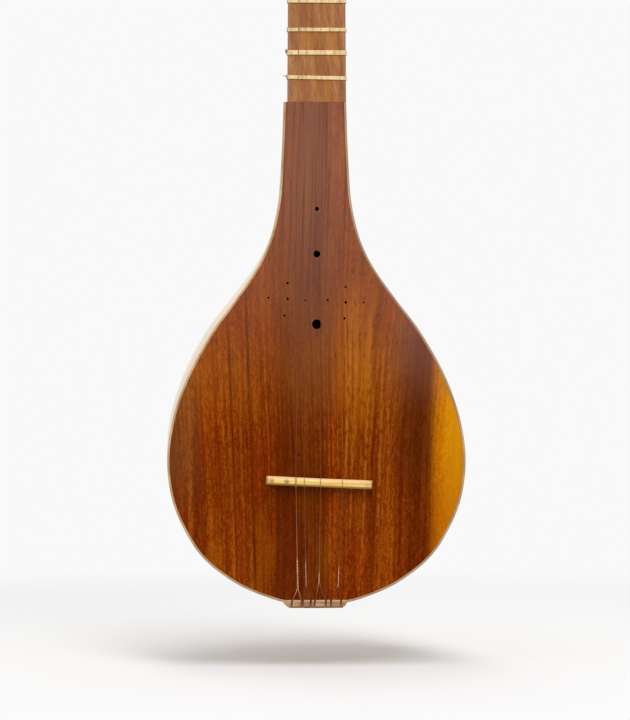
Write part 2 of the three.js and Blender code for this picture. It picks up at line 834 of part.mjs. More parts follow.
function stringSolid(string) {
  const radius = radiusOf(string);
  const { left, right } = toothOf(string);
  const middle = (left + right) / 2;
  const splitHeight = string.loopShare * bridgePlace;
  const loopFront = boardFront - jointGap - radius;
  const edgeZ = tailBarHeight;
  const bridgeTop = new THREE.Vector3(
    stringBridgeX(string),
    boardFront - stringHeightAtBridge,
    bridgePlace - (stringBridgeX(string) - bridgeOffset) * Math.tan(bridgeSkew),
  );
  const between = (z) => {
    const share = (z - edgeZ) / (bridgeTop.z - edgeZ);
    const sideShare = (z - splitHeight) / (bridgeTop.z - splitHeight);
    return new THREE.Vector3(
      THREE.MathUtils.lerp(middle, bridgeTop.x, sideShare),
      THREE.MathUtils.lerp(loopFront, bridgeTop.y, share),
      z,
    );
  };
  const split = between(splitHeight);
  const twistTop = between(string.twistShare * bridgePlace);
  const nutTop = new THREE.Vector3(stringNutX(string), boardFront - stringHeightAtNut, nutZ);
  const route = [split, bridgeTop, nutTop];
  if (string.peg === 'side') {
    const clear = jointGap + radius;
    route.push(new THREE.Vector3(
      headChamfer - neckHalfWidthAtNut - clear / 2,
      headFront - clear,
      nutZ + edgeShare * string.pegShare * headLength,
    ));
  }
  route.push(stringEnd(string, route[route.length - 1]));
  const legTop = split.clone().lerp(twistTop, 0.5);
  const low = recessHeight - jointGap - radius;
  const loop = [
    legTop,
    split,
    new THREE.Vector3(left, loopFront, edgeZ),
    new THREE.Vector3(left, loopFront, low),
    new THREE.Vector3(right, loopFront, low),
    new THREE.Vector3(right, loopFront, edgeZ),
  ];
  const otherLeg = [loop[5], split, legTop];
  return unite(
    wire(route, radius, stringSides),
    wire([split, twistTop], string.diameter, stringSides),
    wire(loop, radius, stringSides),
    wire(otherLeg, radius, stringSides),
  );
}
for (const string of strings) {
  addMesh(`string_${string.name}`, stringSolid(string), finishes[string.finish]);
}

// Frets: each thread runs straight across the front and steps on by a turn's pitch round the back
function offsetRing(ring, distance) {
  return ring.map((point, i) => {
    const before = ring[(i + ring.length - 1) % ring.length];
    const after = ring[(i + 1) % ring.length];
    const normals = [[before, point], [point, after]].map(([a, b]) =>
      new THREE.Vector3(a.y - b.y, b.x - a.x, 0).normalize());
    const sum = normals[0].clone().add(normals[1]);
    return point.clone().addScaledVector(sum, distance / (1 + normals[0].dot(normals[1])));
  });
}

const fretPitch = fretThread + fretTurnGap;

function fretRoute(z) {
  const ring = offsetRing(neckRing(z), jointGap + fretThread / 2);
  const bottom = z - fretTurns / 2 * fretPitch + fretPitch / 2;
  const route = [];
  for (let turn = 0; turn < fretTurns; turn++) {
    const height = bottom + turn * fretPitch;
    route.push(ring[0].clone().setZ(height));
    for (let k = neckArcSteps; k > 0; k--) {
      const share = (neckArcSteps - k) / neckArcSteps;
      route.push(ring[k].clone().setZ(height + share * fretPitch));
    }
  }
  const last = route[route.length - 1];
  route.push(last.clone().setX(last.x - fretTailLength));
  return route;
}

fretCents.forEach((cents, i) => {
  const z = nutZ - stringLength * (1 - 2 ** (-cents / 1200));
  const route = fretRoute(z);
  least = Math.min(least, leastGap(route, fretThread, neckArcSteps + 1));
  addMesh(`fret_${i + 1}`, wire(route, fretThread / 2, threadSides), finishes.gut);
});

console.log(`least gap of a winding to itself: ${least.toFixed(2)} mm`);

export default setar;
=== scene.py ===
from math import acos, atan2, cos, hypot, pi, radians, sin, tan

import bmesh
import bpy
import numpy as np
from mathutils import Matrix, Vector


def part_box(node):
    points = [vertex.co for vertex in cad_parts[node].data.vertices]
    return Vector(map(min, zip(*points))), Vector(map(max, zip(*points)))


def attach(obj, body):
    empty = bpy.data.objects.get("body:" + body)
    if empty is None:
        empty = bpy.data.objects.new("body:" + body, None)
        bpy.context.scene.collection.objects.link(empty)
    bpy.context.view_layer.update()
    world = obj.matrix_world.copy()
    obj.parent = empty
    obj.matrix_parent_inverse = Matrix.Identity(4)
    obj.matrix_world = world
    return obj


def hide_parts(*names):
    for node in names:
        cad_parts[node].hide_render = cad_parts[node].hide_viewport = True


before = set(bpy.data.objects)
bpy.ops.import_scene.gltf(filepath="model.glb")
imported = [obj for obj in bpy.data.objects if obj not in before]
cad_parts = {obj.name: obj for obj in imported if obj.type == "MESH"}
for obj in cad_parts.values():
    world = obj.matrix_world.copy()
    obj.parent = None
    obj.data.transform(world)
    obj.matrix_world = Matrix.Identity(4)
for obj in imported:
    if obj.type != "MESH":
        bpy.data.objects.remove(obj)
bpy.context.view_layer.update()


# Bowl
# Nine staves of pale mulberry, bent over a mould, tapered to both ends and glued edge to edge.
# The outside is scraped to one smooth pear and lacquered to a gloss.
mm = 0.001
collection = bpy.context.scene.collection
stave_count = 9
stave_thickness = 3 * mm
stave_joint = 0.06 * mm
stave_ease = 0.25 * mm
stave_stations = 180
stave_lines = 13
sharp_angle = radians(28)
eased_angle = radians(50)
bowl_half_width = 80 * mm
bowl_depth = 127 * mm
bowl_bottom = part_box("stave_5")[0].z
bowl_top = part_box("stave_5")[1].z
rim_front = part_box("stave_1")[0].y

# The pins of the mould from the tail to the neck: height, half width, depth and how far the
# sides swell past the rim, as shares of the bowl's length, half width, depth and half width
bowl_shares = [
    (0, 0.195, 0.12, 0),
    (0.0052, 0.267, 0.19, 0),
    (0.025, 0.446, 0.37, 0),
    (0.0451, 0.572, 0.505, 0),
    (0.085, 0.743, 0.68, 0),
    (0.125, 0.846, 0.79, 0),
    (0.205, 0.966, 0.928, 0.01),
    (0.285, 1, 0.992, 0.03),
    (0.358, 0.97, 1, 0.095),
    (0.444, 0.875, 0.955, 0.14),
    (0.544, 0.69, 0.845, 0.19),
    (0.604, 0.541, 0.742, 0.195),
    (0.664, 0.401, 0.618, 0.175),
    (0.704, 0.33, 0.53, 0.12),
    (0.743, 0.284, 0.448, 0.06),
    (0.803, 0.243, 0.34, 0.05),
    (0.903, 0.22, 0.228, 0.05),
    (1, 0.209, 0.172, 0.05),
]
bowl_pins = [
    (width * bowl_half_width, depth * bowl_depth, bowl_bottom + height * (bowl_top - bowl_bottom))
    for height, width, depth, swell in bowl_shares
]
swell_pins = [(row[3],) for row in bowl_shares]
# Made by eye, the throat stands a little to the left of the middle line
throat_aside = -1.0 * mm
throat_from, throat_to = 120 * mm, 215 * mm


def throat_lean(z):
    """How far the throat has left the middle line at a height."""
    share = min(max((z - throat_from) / (throat_to - throat_from), 0.0), 1.0)
    return throat_aside * share * share * (3 - 2 * share)


def batten(pins, share, even=False):
    """The place at a share of the way along a thin batten bent round a row of pins."""
    pins = np.array(pins, float)
    way = share * (len(pins) - 1)
    first = min(int(way), len(pins) - 2)
    part = way - first
    start, end = pins[first], pins[first + 1]
    before = pins[first - 1] if first else 2 * start - end
    after = pins[first + 2] if first + 2 < len(pins) else 2 * end - start
    gaps = [np.linalg.norm(b - a) ** 0.5 for a, b in ((before, start), (start, end), (end, after))]
    near, here, far = (1, 1, 1) if even else gaps
    leave = ((start - before) / near - (end - before) / (near + here) + (end - start) / here) * here
    arrive = ((end - start) / here - (after - start) / (here + far) + (after - end) / far) * here
    square = 3 * (end - start) - 2 * leave - arrive
    cube = 2 * (start - end) + leave + arrive
    return start + leave * part + square * part**2 + cube * part**3


class Value:
    """What runs out of one socket in a tree of nodes. Sums on it read as they do on paper."""

    def __init__(self, tree, socket):
        self.tree, self.socket = tree, socket

    def __add__(self, other):
        return calc("ADD", self, other)

    def __sub__(self, other):
        return calc("SUBTRACT", self, other)

    def __rsub__(self, other):
        return calc("SUBTRACT", other, self)

    def __mul__(self, other):
        return calc("MULTIPLY", self, other)

    def __truediv__(self, other):
        return calc("DIVIDE", self, other)


def put(tree, kind, feeds=(), **settings):
    """A node of a kind with its settings, fed with numbers or with what runs out of others. A kind
    such as Mix is of the tree's own family, so it is a ShaderNodeMix among a material's nodes."""
    node = tree.nodes.new(kind if "Node" in kind else tree.bl_idname.replace("Tree", kind))
    for name, value in settings.items():
        setattr(node, name, value)
    for place, value in dict(feeds).items():
        if isinstance(value, Value):
            tree.links.new(value.socket, node.inputs[place])
        else:
            node.inputs[place].default_value = value
    return node


def made(tree, kind, feeds=(), out=0, **settings):
    """What runs out of a new node."""
    return Value(tree, put(tree, kind, feeds, **settings).outputs[out])


def calc(operation, *values):
    """The result of a sum on numbers or, where its first value is one, on vectors."""
    first = next(value for value in values if isinstance(value, Value))
    if first.socket.type != "VECTOR":
        return made(first.tree, "ShaderNodeMath", enumerate(values), operation=operation)
    if operation == "MULTIPLY" and not isinstance(values[1], tuple):
        operation = "SCALE"
    places = (0, 3) if operation == "SCALE" else (0, 1)
    out = 1 if operation == "LENGTH" else 0
    return made(first.tree, "ShaderNodeVectorMath", zip(places, values), out, operation=operation)


def split(vector):
    """The three parts of a vector."""
    parts = put(vector.tree, "ShaderNodeSeparateXYZ", {0: vector}).outputs
    return [Value(vector.tree, part) for part in parts]


def combined(*parts):
    """The vector of three parts."""
    tree = next(part.tree for part in parts if isinstance(part, Value))
    return made(tree, "ShaderNodeCombineXYZ", enumerate(parts))


def noted(tree, label, kind="FLOAT"):
    """What the start mesh notes at each point."""
    return made(tree, "InputNamedAttribute", {"Name": label}, data_type=kind)


def stored(shape, label, value, kind="FLOAT"):
    """A shape with a value noted at each point for its finish."""
    feeds = {"Geometry": shape, "Name": label, "Value": value}
    return made(shape.tree, "StoreNamedAttribute", feeds, data_type=kind, domain="POINT")


def joined(*shapes):
    """Shapes taken together."""
    both = put(shapes[0].tree, "JoinGeometry")
    for shape in shapes:
        shape.tree.links.new(shape.socket, both.inputs[0])
    return Value(shapes[0].tree, both.outputs[0])


def new_tree(name, sockets):
    """A geometry tree with named inputs. Gives the tree and what runs out of its inputs."""
    tree = bpy.data.node_groups.new(name, "GeometryNodeTree")
    for label, kind in {"Geometry": "Geometry", **sockets}.items():
        tree.interface.new_socket(label, in_out="INPUT", socket_type="NodeSocket" + kind)
    tree.interface.new_socket("Geometry", in_out="OUTPUT", socket_type="NodeSocketGeometry")
    sources = tree.nodes.new("NodeGroupInput").outputs
    return tree, {label: Value(tree, sources[label]) for label in ("Geometry", *sockets)}


def ended(tree, shape, finish):
    """The last nodes of every tree: real geometry, smooth faces and the finish. Gives the tree."""
    real = made(tree, "RealizeInstances", {0: shape})
    smooth = made(tree, "SetShadeSmooth", {"Geometry": real})
    final = made(tree, "SetMaterial", {"Geometry": smooth, "Material": finish})
    tree.links.new(final.socket, tree.nodes.new("NodeGroupOutput").inputs[0])
    return tree


def walled(skin, thickness):
    """A closed wall that reaches from a skin to the back of its faces."""
    inner = made(skin.tree, "ExtrudeMesh", {
        "Mesh": skin, "Individual": False, "Offset Scale": thickness * -1,
    })
    both = joined(skin, made(skin.tree, "FlipFaces", {"Mesh": inner}))
    return made(skin.tree, "MergeByDistance", {"Geometry": both, "Distance": 0.001 * mm})


def placed(name, data):
    """A new object in the scene."""
    thing = bpy.data.objects.new(name, data)
    collection.objects.link(thing)
    return thing


def grown(name, start, tree, settings, ease=0):
    """The plain object that a tree grows from a start mesh, its corners eased if asked."""
    piece = placed(name, start)
    grow = piece.modifiers.new(name, "NODES")
    grow.node_group = tree
    for socket in tree.interface.items_tree:
        if socket.in_out == "INPUT" and socket.name in settings:
            grow[socket.identifier] = settings[socket.name]
    if ease:
        bevel = piece.modifiers.new("ease", "BEVEL")
        bevel.width = ease
        bevel.segments = 1
        bevel.limit_method = "ANGLE"
        bevel.angle_limit = eased_angle
        bevel.use_clamp_overlap = True
    bpy.context.view_layer.update()
    depsgraph = bpy.context.evaluated_depsgraph_get()
    mesh = bpy.data.meshes.new_from_object(
        piece.evaluated_get(depsgraph), preserve_all_data_layers=True, depsgraph=depsgraph
    )
    piece.modifiers.clear()
    piece.data = mesh
    mesh.name = name
    mesh.set_sharp_from_angle(angle=sharp_angle)
    return piece


def line_mesh(name, points, closed=False, **values):
    """Bare edges along a list of points, with number attributes for each point."""
    mesh = bpy.data.meshes.new(name)
    edges = [(i, i + 1) for i in range(len(points) - 1)]
    if closed:
        edges.append((len(points) - 1, 0))
    mesh.from_pydata([tuple(p) for p in points], edges, [])
    for label, numbers in values.items():
        mesh.attributes.new(label, "FLOAT", "POINT").data.foreach_set("value", numbers)
    return mesh


def settle(piece, slot, *nodes, body="body"):
    """A finished piece rides on a body and stands for nodes. Its slot is not used."""
    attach(piece, body)
    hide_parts(*nodes)


def stave_tree():
    """One stave: a grid laid on the mould between two angles, walled inwards."""
    tree, given = new_tree("bent_stave", {
        "Stave": "Int", "Staves": "Int", "Stations": "Int", "Lines": "Int", "Rim Front": "Float",
        "Joint": "Float", "Thickness": "Float", "Wood": "Material",
    })
    grid = made(tree, "MeshGrid", {
        "Size X": 1.0, "Size Y": 1.0, "Vertices X": given["Lines"], "Vertices Y": given["Stations"],
    })
    position = made(tree, "InputPosition")
    off_middle, along = split(position)[:2]
    across = off_middle + 0.5
    row = calc("ROUND", (along + 0.5) * (given["Stations"] - 1.0))

    def sampled(value, kind="FLOAT"):
        feeds = {"Geometry": given["Geometry"], "Value": value, "Index": row}
        return made(tree, "SampleIndex", feeds, data_type=kind, domain="POINT")

    half, depth, height = split(sampled(position, "FLOAT_VECTOR"))
    swell, run, lean = (sampled(noted(tree, label)) for label in ("swell", "run", "lean"))
    angle = (given["Stave"] + across) / given["Staves"] * pi - pi / 2
    sine, cosine = calc("SINE", angle), calc("COSINE", angle)
    wide = swell * calc("SINE", angle * 2.0) + sine
    point = combined(half * wide + lean, depth * cosine + given["Rim Front"], height)
    swing = swell * 2.0 * calc("COSINE", angle * 2.0)
    round_about = combined(half * (cosine + swing), depth * sine * -1.0, 0.0)
    drawn = calc("NORMALIZE", round_about) * ((0.5 - across) * given["Joint"])
    width = calc("LENGTH", round_about) / given["Staves"] * pi
    grain = combined(width * off_middle, given["Stave"], run)
    marked = stored(grid, "grain", grain, "FLOAT_VECTOR")
    bent = made(tree, "SetPosition", {"Geometry": marked, "Position": point + drawn})
    outwards = made(tree, "FlipFaces", {"Mesh": bent})
    return ended(tree, walled(outwards, given["Thickness"]), given["Wood"])


def colour(red, green, blue):
    """A colour written in screen values, as the light values that Blender takes."""
    parts = (red / 255, green / 255, blue / 255)
    return tuple(c / 12.92 if c < 0.0405 else ((c + 0.055) / 1.055) ** 2.4 for c in parts) + (1,)


def new_finish(name, roughness, sheen=0.0, metal=0.0, specular=0.5):
    """A material with its shader's fixed values."""
    material = bpy.data.materials.new(name)
    material.use_nodes = True
    shader = material.node_tree.nodes["Principled BSDF"].inputs
    shader["Roughness"].default_value = roughness
    shader["Metallic"].default_value = metal
    shader["Coat Weight"].default_value = sheen
    shader["Coat Roughness"].default_value = 0.12
    shader["Specular IOR Level"].default_value = specular
    return material


def kept(material, label, out="Fac"):
    """What the piece's mesh keeps for its finish at a point."""
    return made(material.node_tree, "Attribute", out=out, attribute_name=label)


def mottle(place, across, along, detail=2.0, rough=0.5, seed=0.0):
    """Noise drawn out along the grain: how many marks a metre across it and along it."""
    stretched = made(place.tree, "Mapping", {
        "Vector": place, "Scale": (across, across, along), "Location": (seed, seed, seed),
    })
    return made(place.tree, "TexNoise", {
        "Vector": stretched, "Scale": 1.0, "Detail": detail, "Roughness": rough,
    })


def ramp(value, *stops):
    """A value turned to the shares or colours at its stops."""
    node = put(value.tree, "ValToRGB", {0: value})
    bar = node.color_ramp.elements
    while len(bar) < len(stops):
        bar.new(0.5)
    for element, (place, tone) in zip(bar, stops):
        element.position = place
        element.color = colour(*tone) if isinstance(tone, tuple) else (tone, tone, tone, 1)
    return Value(value.tree, node.outputs[0])


def blend(share, first, second, way="MIX"):
    """A colour turned by a share towards a second, in a way of mixing."""
    first, second = (colour(*tone) if isinstance(tone, tuple) else tone for tone in (first, second))
    feeds = {0: share, 6: first, 7: second}
    return made(share.tree, "Mix", feeds, 2, data_type="RGBA", blend_type=way)


def painted(material, tone, height, depth, strength=1.0):
    """The material with its colour, and with relief as deep as the real marks are."""
    tree = material.node_tree
    shader = tree.nodes["Principled BSDF"].inputs
    bump = made(tree, "Bump", {"Height": height, "Distance": depth, "Strength": strength})
    tree.links.new(tone.socket, shader["Base Color"])
    tree.links.new(bump.socket, shader["Normal"])
    return material


def timber(place, dark, middle, light, figure, fibre, pore, seed=0.0):
    """Planed wood: broad figure, fine fibres and short dark pores, each so many a metre across
    the grain and along it. Gives its colour and its height."""
    broad = mottle(place, *figure, detail=3.0, seed=seed)
    fine = mottle(place, *fibre, detail=4.0, rough=0.65, seed=seed + 3.7)
    body = ramp(broad * 0.55 + fine * 0.45, (0.36, dark), (0.5, middle), (0.64, light))
    pores = ramp(mottle(place, *pore, detail=1.0, seed=seed + 9.1), (0.6, 0.0), (0.72, 1.0))
    return blend(pores * 0.55, body, dark), fine * 0.5 - pores


def stave_wood(name, *tones):
    """Lacquered mulberry with its grain along the stave."""
    material = new_finish(name, 0.38, sheen=0.9)
    grain = kept(material, "grain", "Vector")
    tone, height = timber(grain, *tones, (120, 5), (900, 22), (1500, 130))
    return painted(material, tone, height, 0.04 * mm, 0.5)


stave_woods = [
    stave_wood("stave_wood", (176, 126, 62), (205, 160, 90), (225, 187, 119)),
    stave_wood("stave_wood_dark", (160, 106, 54), (190, 140, 80), (212, 168, 108)),
]
stations = [batten(bowl_pins, i / (stave_stations - 1)) for i in range(stave_stations)]
swells = [batten(swell_pins, i / (stave_stations - 1), even=True)[0] for i in range(stave_stations)]
leans = [throat_lean(place[2]) for place in stations]
runs = [0.0]
for here, there in zip(stations, stations[1:]):
    runs.append(runs[-1] + float(np.linalg.norm(there - here)))
bent_stave = stave_tree()
for index in range(stave_count):
    wood = stave_woods[index % 2]
    mould = line_mesh("mould", stations, swell=swells, run=runs, lean=leans)
    stave = grown(f"bent_stave_{index + 1}", mould, bent_stave, {
        "Stave": index, "Staves": stave_count, "Stations": stave_stations, "Lines": stave_lines,
        "Rim Front": rim_front, "Joint": stave_joint, "Thickness": stave_thickness, "Wood": wood,
    }, ease=stave_ease)
    settle(stave, ("stave_wood", "stave_wood_dark")[index % 2], f"stave_{index + 1}")


# Blocks and braces
# Inside the bowl a block of plain softwood holds each end, and two bars stiffen the soundboard.
# They are sawn, glued in and left bare.
def place_on(material):
    """Where a point lies on the piece."""
    return made(material.node_tree, "TexCoord", out="Object")


def bare_wood():
    """Sawn softwood without a finish."""
    material = new_finish("block_wood", 0.8, specular=0.3)
    tones = (170, 128, 78), (201, 168, 119), (222, 194, 150)
    tone, height = timber(place_on(material), *tones, (260, 8), (1400, 40), (1800, 200))
    return painted(material, tone, height, 0.1 * mm)


sawn_wood = bare_wood()
for node in ("tail_block", "neck_block", "brace_1", "brace_2"):
    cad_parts[node].material_slots[0].material = sawn_wood


# Edge strips
# A bent strip of tan wood closes the joint between the soundboard and the staves on each side.
# It is let in flush with the board, then its outer corner is rounded over.
edge_strip_width = 1.3 * mm
edge_strip_rounding = 0.35 * mm
strip_stations = 200
strip_from_middle = 15 * mm
board_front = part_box("soundboard")[0].y
tail_bar_height = 4.5 * mm


def rim_place(share, inset):
    """A place on the rim seen from the front, moved inwards in the rim's own plane."""
    step = 0.001
    here = batten(bowl_pins, share)
    ahead = batten(bowl_pins, min(share + step, 1)) - batten(bowl_pins, max(share - step, 0))
    outwards = np.array((ahead[2], -ahead[0])) / hypot(ahead[2], ahead[0])
    return here[0] - inset * outwards[0], here[2] - inset * outwards[1]


def swept(line, section):
    """A closed solid drawn along a line."""
    return made(line.tree, "CurveToMesh", {
        "Curve": line, "Profile Curve": section, "Fill Caps": True,
    })


def strip_tree():
    """A strip along a line that lies flat, with rounded corners, then stood up."""
    tree, given = new_tree("bent_strip", {
        "Width": "Float", "Depth": "Float", "Rounding": "Float", "Front": "Float",
        "Wood": "Material",
    })
    line = made(tree, "MeshToCurve", {"Mesh": given["Geometry"]})
    section = made(tree, "CurvePrimitiveQuadrilateral", {
        "Width": given["Width"], "Height": given["Depth"],
    })
    eased = made(tree, "FilletCurve", {
        "Curve": section, "Radius": given["Rounding"], "Limit Radius": True, "Count": 3,
    }, mode="POLY")
    marked = stored(line, "run", made(tree, "SplineParameter", out="Length"))
    upright = made(tree, "Transform", {
        "Geometry": swept(marked, eased), "Rotation": (pi / 2, 0, 0),
        "Translation": combined(0.0, given["Depth"] * 0.5 + given["Front"], 0.0),
    })
    return ended(tree, upright, given["Wood"])


def fade(value, low, high, start=0.0, end=1.0, kind="LINEAR"):
    """A share that goes from a start to an end while a value goes from low to high."""
    feeds = {0: value, 1: low, 2: high, 3: start, 4: end}
    return made(value.tree, "MapRange", feeds, interpolation_type=kind)


def strip_wood():
    """Tan wood with its grain along the strip, with painted shade, greyer, at the right and above.
    """
    material = new_finish("edge_strip_wood", 0.42, sheen=0.3)
    x, y, z = split(place_on(material))
    tones = (150, 112, 72), (182, 144, 104), (206, 174, 134)
    grain = combined(y, 0.0, kept(material, "run"))
    tone, height = timber(grain, *tones, (700, 40), (2500, 90), (3000, 300))
    # Painted shade: the strip greys at the right, away from the light, and more so above
    greyer = fade(x, 0.0, 30 * mm, 0.0, 0.25) * fade(z, 90 * mm, 150 * mm, 1.0, 3.0)
    return painted(material, blend(greyer, tone, (146, 116, 96)), height, 0.04 * mm, 0.5)


rim_shares = [i / strip_stations for i in range(strip_stations + 1)]
side_shares = [
    s for s in rim_shares
    if (rim_place(s, edge_strip_width)[0] > strip_from_middle or s > 0.5)
    and rim_place(s, 0)[1] > tail_bar_height / 2
]
bent_strip = strip_tree()
tan_wood = strip_wood()
for name, side in (("edge_strip_left", -1), ("edge_strip_right", 1)):
    middle = [rim_place(share, edge_strip_width / 2) for share in side_shares]
    line = line_mesh(name, [(side * x + throat_lean(z), z, 0) for x, z in middle])
    strip = grown(f"bent_{name}", line, bent_strip, {
        "Width": edge_strip_width, "Depth": rim_front - board_front, "Front": board_front,
        "Rounding": edge_strip_rounding, "Wood": tan_wood,
    })
    settle(strip, "edge_strip_wood", name)


# Soundboard
# One thin plate of straight-grained mulberry heartwood with a wedge of amber sapwood at its right.
# It is glued to the rim, drilled with three sound holes and two crosses of pin holes, and oiled.
soundboard_joint = 0.05 * mm
sound_holes = [(0.789, 1.1 * mm), (0.7, 1.85 * mm), (0.561, 2.6 * mm)]
# How far each pin hole was bored off its mark, to the right and up, and its radius, in millimetres
pin_wander = [
    (0.1, 0.6, 0.68), (-0.27, 1.2, 0.6), (-0.5, -0.2, 0.52), (-1.6, 0.5, 0.62), (0.05, 0.15, 0.66),
    (0.35, 0.35, 0.74), (0.55, 1.65, 0.6), (0, 0.35, 0.52), (-0.3, 0.7, 0.66), (0.2, -0.25, 0.64),
]
pin_crosses = [(-0.197, 0.609), (0.189, 0.603)]
pin_arm_across = 9.9 * mm
pin_arm_along = 8.9 * mm
tail_half_width = 16 * mm
board_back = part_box("soundboard")[1].y
board_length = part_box("soundboard")[1].z
board_bottom = tail_bar_height + soundboard_joint


def cut_tree():
    """A blank with saw cuts and drilled holes. Loose points of the start mesh carry the tools:
    1 is a saw's block and 2 a drill's round bit, each with its size and turn."""
    tree, given = new_tree("sawn_and_drilled", {"Bit Sides": "Int", "Wood": "Material"})
    tool = noted(tree, "tool")
    size, turn = (noted(tree, label, "FLOAT_VECTOR") for label in ("size", "turn"))
    is_tool = made(tree, "FunctionNodeCompare", {0: tool, 1: 0.5}, operation="GREATER_THAN")
    parted = put(tree, "SeparateGeometry", {
        "Geometry": given["Geometry"], "Selection": is_tool,
    }, domain="POINT").outputs
    saw = made(tree, "MeshCube", {"Size": (1, 1, 1)})
    bit = made(tree, "MeshCylinder", {
        "Vertices": given["Bit Sides"], "Radius": 0.5, "Depth": 1.0,
    })
    cutters = []
    for number, block in ((1.0, saw), (2.0, bit)):
        feeds = {0: tool, 1: number, "Epsilon": 0.1}
        cutters.append(made(tree, "InstanceOnPoints", {
            "Points": Value(tree, parted["Selection"]), "Instance": block, "Rotation": turn,
            "Scale": size, "Selection": made(tree, "FunctionNodeCompare", feeds, operation="EQUAL"),
        }))
    cut = made(tree, "MeshBoolean", {
        "Mesh 1": Value(tree, parted["Inverted"]), "Self Intersection": True,
        "Mesh 2": made(tree, "RealizeInstances", {0: joined(*cutters)}),
    }, operation="DIFFERENCE", solver="EXACT")
    return ended(tree, cut, given["Wood"])


sawn_and_drilled = cut_tree()


def bored(place, width, length, turn=(pi / 2, 0, 0)):
    """A drill's bit, from front to back if it isn't turned otherwise."""
    return 2, place, (width, width, length), turn


def cut_piece(name, node, slot, solids, tools, wood, ease, sides=8, body="body"):
    """The finished piece for a node: closed blanks cut with its tools, each a loose point."""
    rows, faces = [], []
    for points, solid_faces in solids:
        faces += [[len(rows) + i for i in face] for face in solid_faces]
        rows += [(0, point, (0, 0, 0), (0, 0, 0)) for point in points]
    kinds, places, *vectors = zip(*rows, *tools)
    mesh = bpy.data.meshes.new(name)
    mesh.from_pydata(places, [], faces)
    mesh.attributes.new("tool", "FLOAT", "POINT").data.foreach_set("value", kinds)
    for label, values in zip(("size", "turn"), vectors):
        given = mesh.attributes.new(label, "FLOAT_VECTOR", "POINT")
        given.data.foreach_set("vector", np.array(values, np.float32).ravel())
    settings = {"Bit Sides": sides, "Wood": wood}
    settle(grown(name, mesh, sawn_and_drilled, settings, ease), slot, node, body=body)


def lofted(rings):
    """A closed solid through rings of equally many points, with its faces turned outwards."""
    shape = bmesh.new()
    rings = [[shape.verts.new(point) for point in ring] for ring in rings]
    for low, high in zip(rings, rings[1:]):
        for i in range(-len(low), 0):
            shape.faces.new((low[i], low[i + 1], high[i + 1], high[i]))
    shape.faces.new(rings[0][::-1])
    shape.faces.new(rings[-1])
    bmesh.ops.recalc_face_normals(shape, faces=shape.faces)
    shape.verts.index_update()
    faces = [[corner.index for corner in face.verts] for face in shape.faces]
    points = [tuple(corner.co) for corner in shape.verts]
    shape.free()
    return points, faces


def upright_plate(outline, front, back):
    """A plate with an outline in X and Z, between two depths."""
    return lofted([[(x, y, z) for x, z in outline] for y in (front, back)])


def soft(value, low, high, start=0.0, end=1.0):
    """A fade that starts and ends gently."""
    return fade(value, low, high, start, end, "SMOOTHSTEP")


def window(value, low, high, width):
    """1 between two values, with a soft step at each."""
    return soft(value, low - width, low + width) * soft(value, high - width, high + width, 1.0, 0.0)


def stained(tone, *stains):
    """A colour with stains laid over it in turn, each a share and a colour."""
    for share, stain in stains:
        tone = blend(share, tone, stain)
    return tone


# Single streaks in the soundboard, each a little off upright: its place at 130 mm and at 25 mm, its
# half width and its ends, all in millimetres, and how strong it is
upper_mark, lower_mark = 130, 25
dark_streaks = [
    (-36.9, -33.2, 0.6, 10, 165, 0.95), (-46.5, -42.8, 0.6, 15, 150, 0.9),
    (-40.1, -39.6, 0.3, 15, 140, 0.5), (-64.6, -60.5, 0.5, 40, 120, 0.7),
    (-17.0, -14.5, 0.4, 15, 150, 0.45), (-7.0, -9.1, 0.3, 15, 120, 0.45),
    (-2.7, -1.1, 0.4, 15, 150, 0.5), (6.6, 3.2, 0.4, 15, 165, 0.55),
    (23.4, 20.5, 0.4, 60, 150, 0.55), (31.2, 31.2, 0.4, 20, 145, 0.5),
    (37.0, 33.2, 0.4, 20, 145, 0.5),
]
pale_streaks = [
    (-67.4, -67.4, 1.0, 40, 120, 0.35), (-41.6, -38.8, 0.3, 30, 140, 0.4),
    (17.6, 13.0, 0.6, 60, 176, 0.7), (20.9, 17.0, 0.5, 40, 170, 0.6),
    (28.4, 24.0, 0.6, 20, 150, 0.6), (35.3, 32.4, 0.5, 40, 145, 0.5),
    (39.0, 37.0, 0.5, 60, 145, 0.4),
]


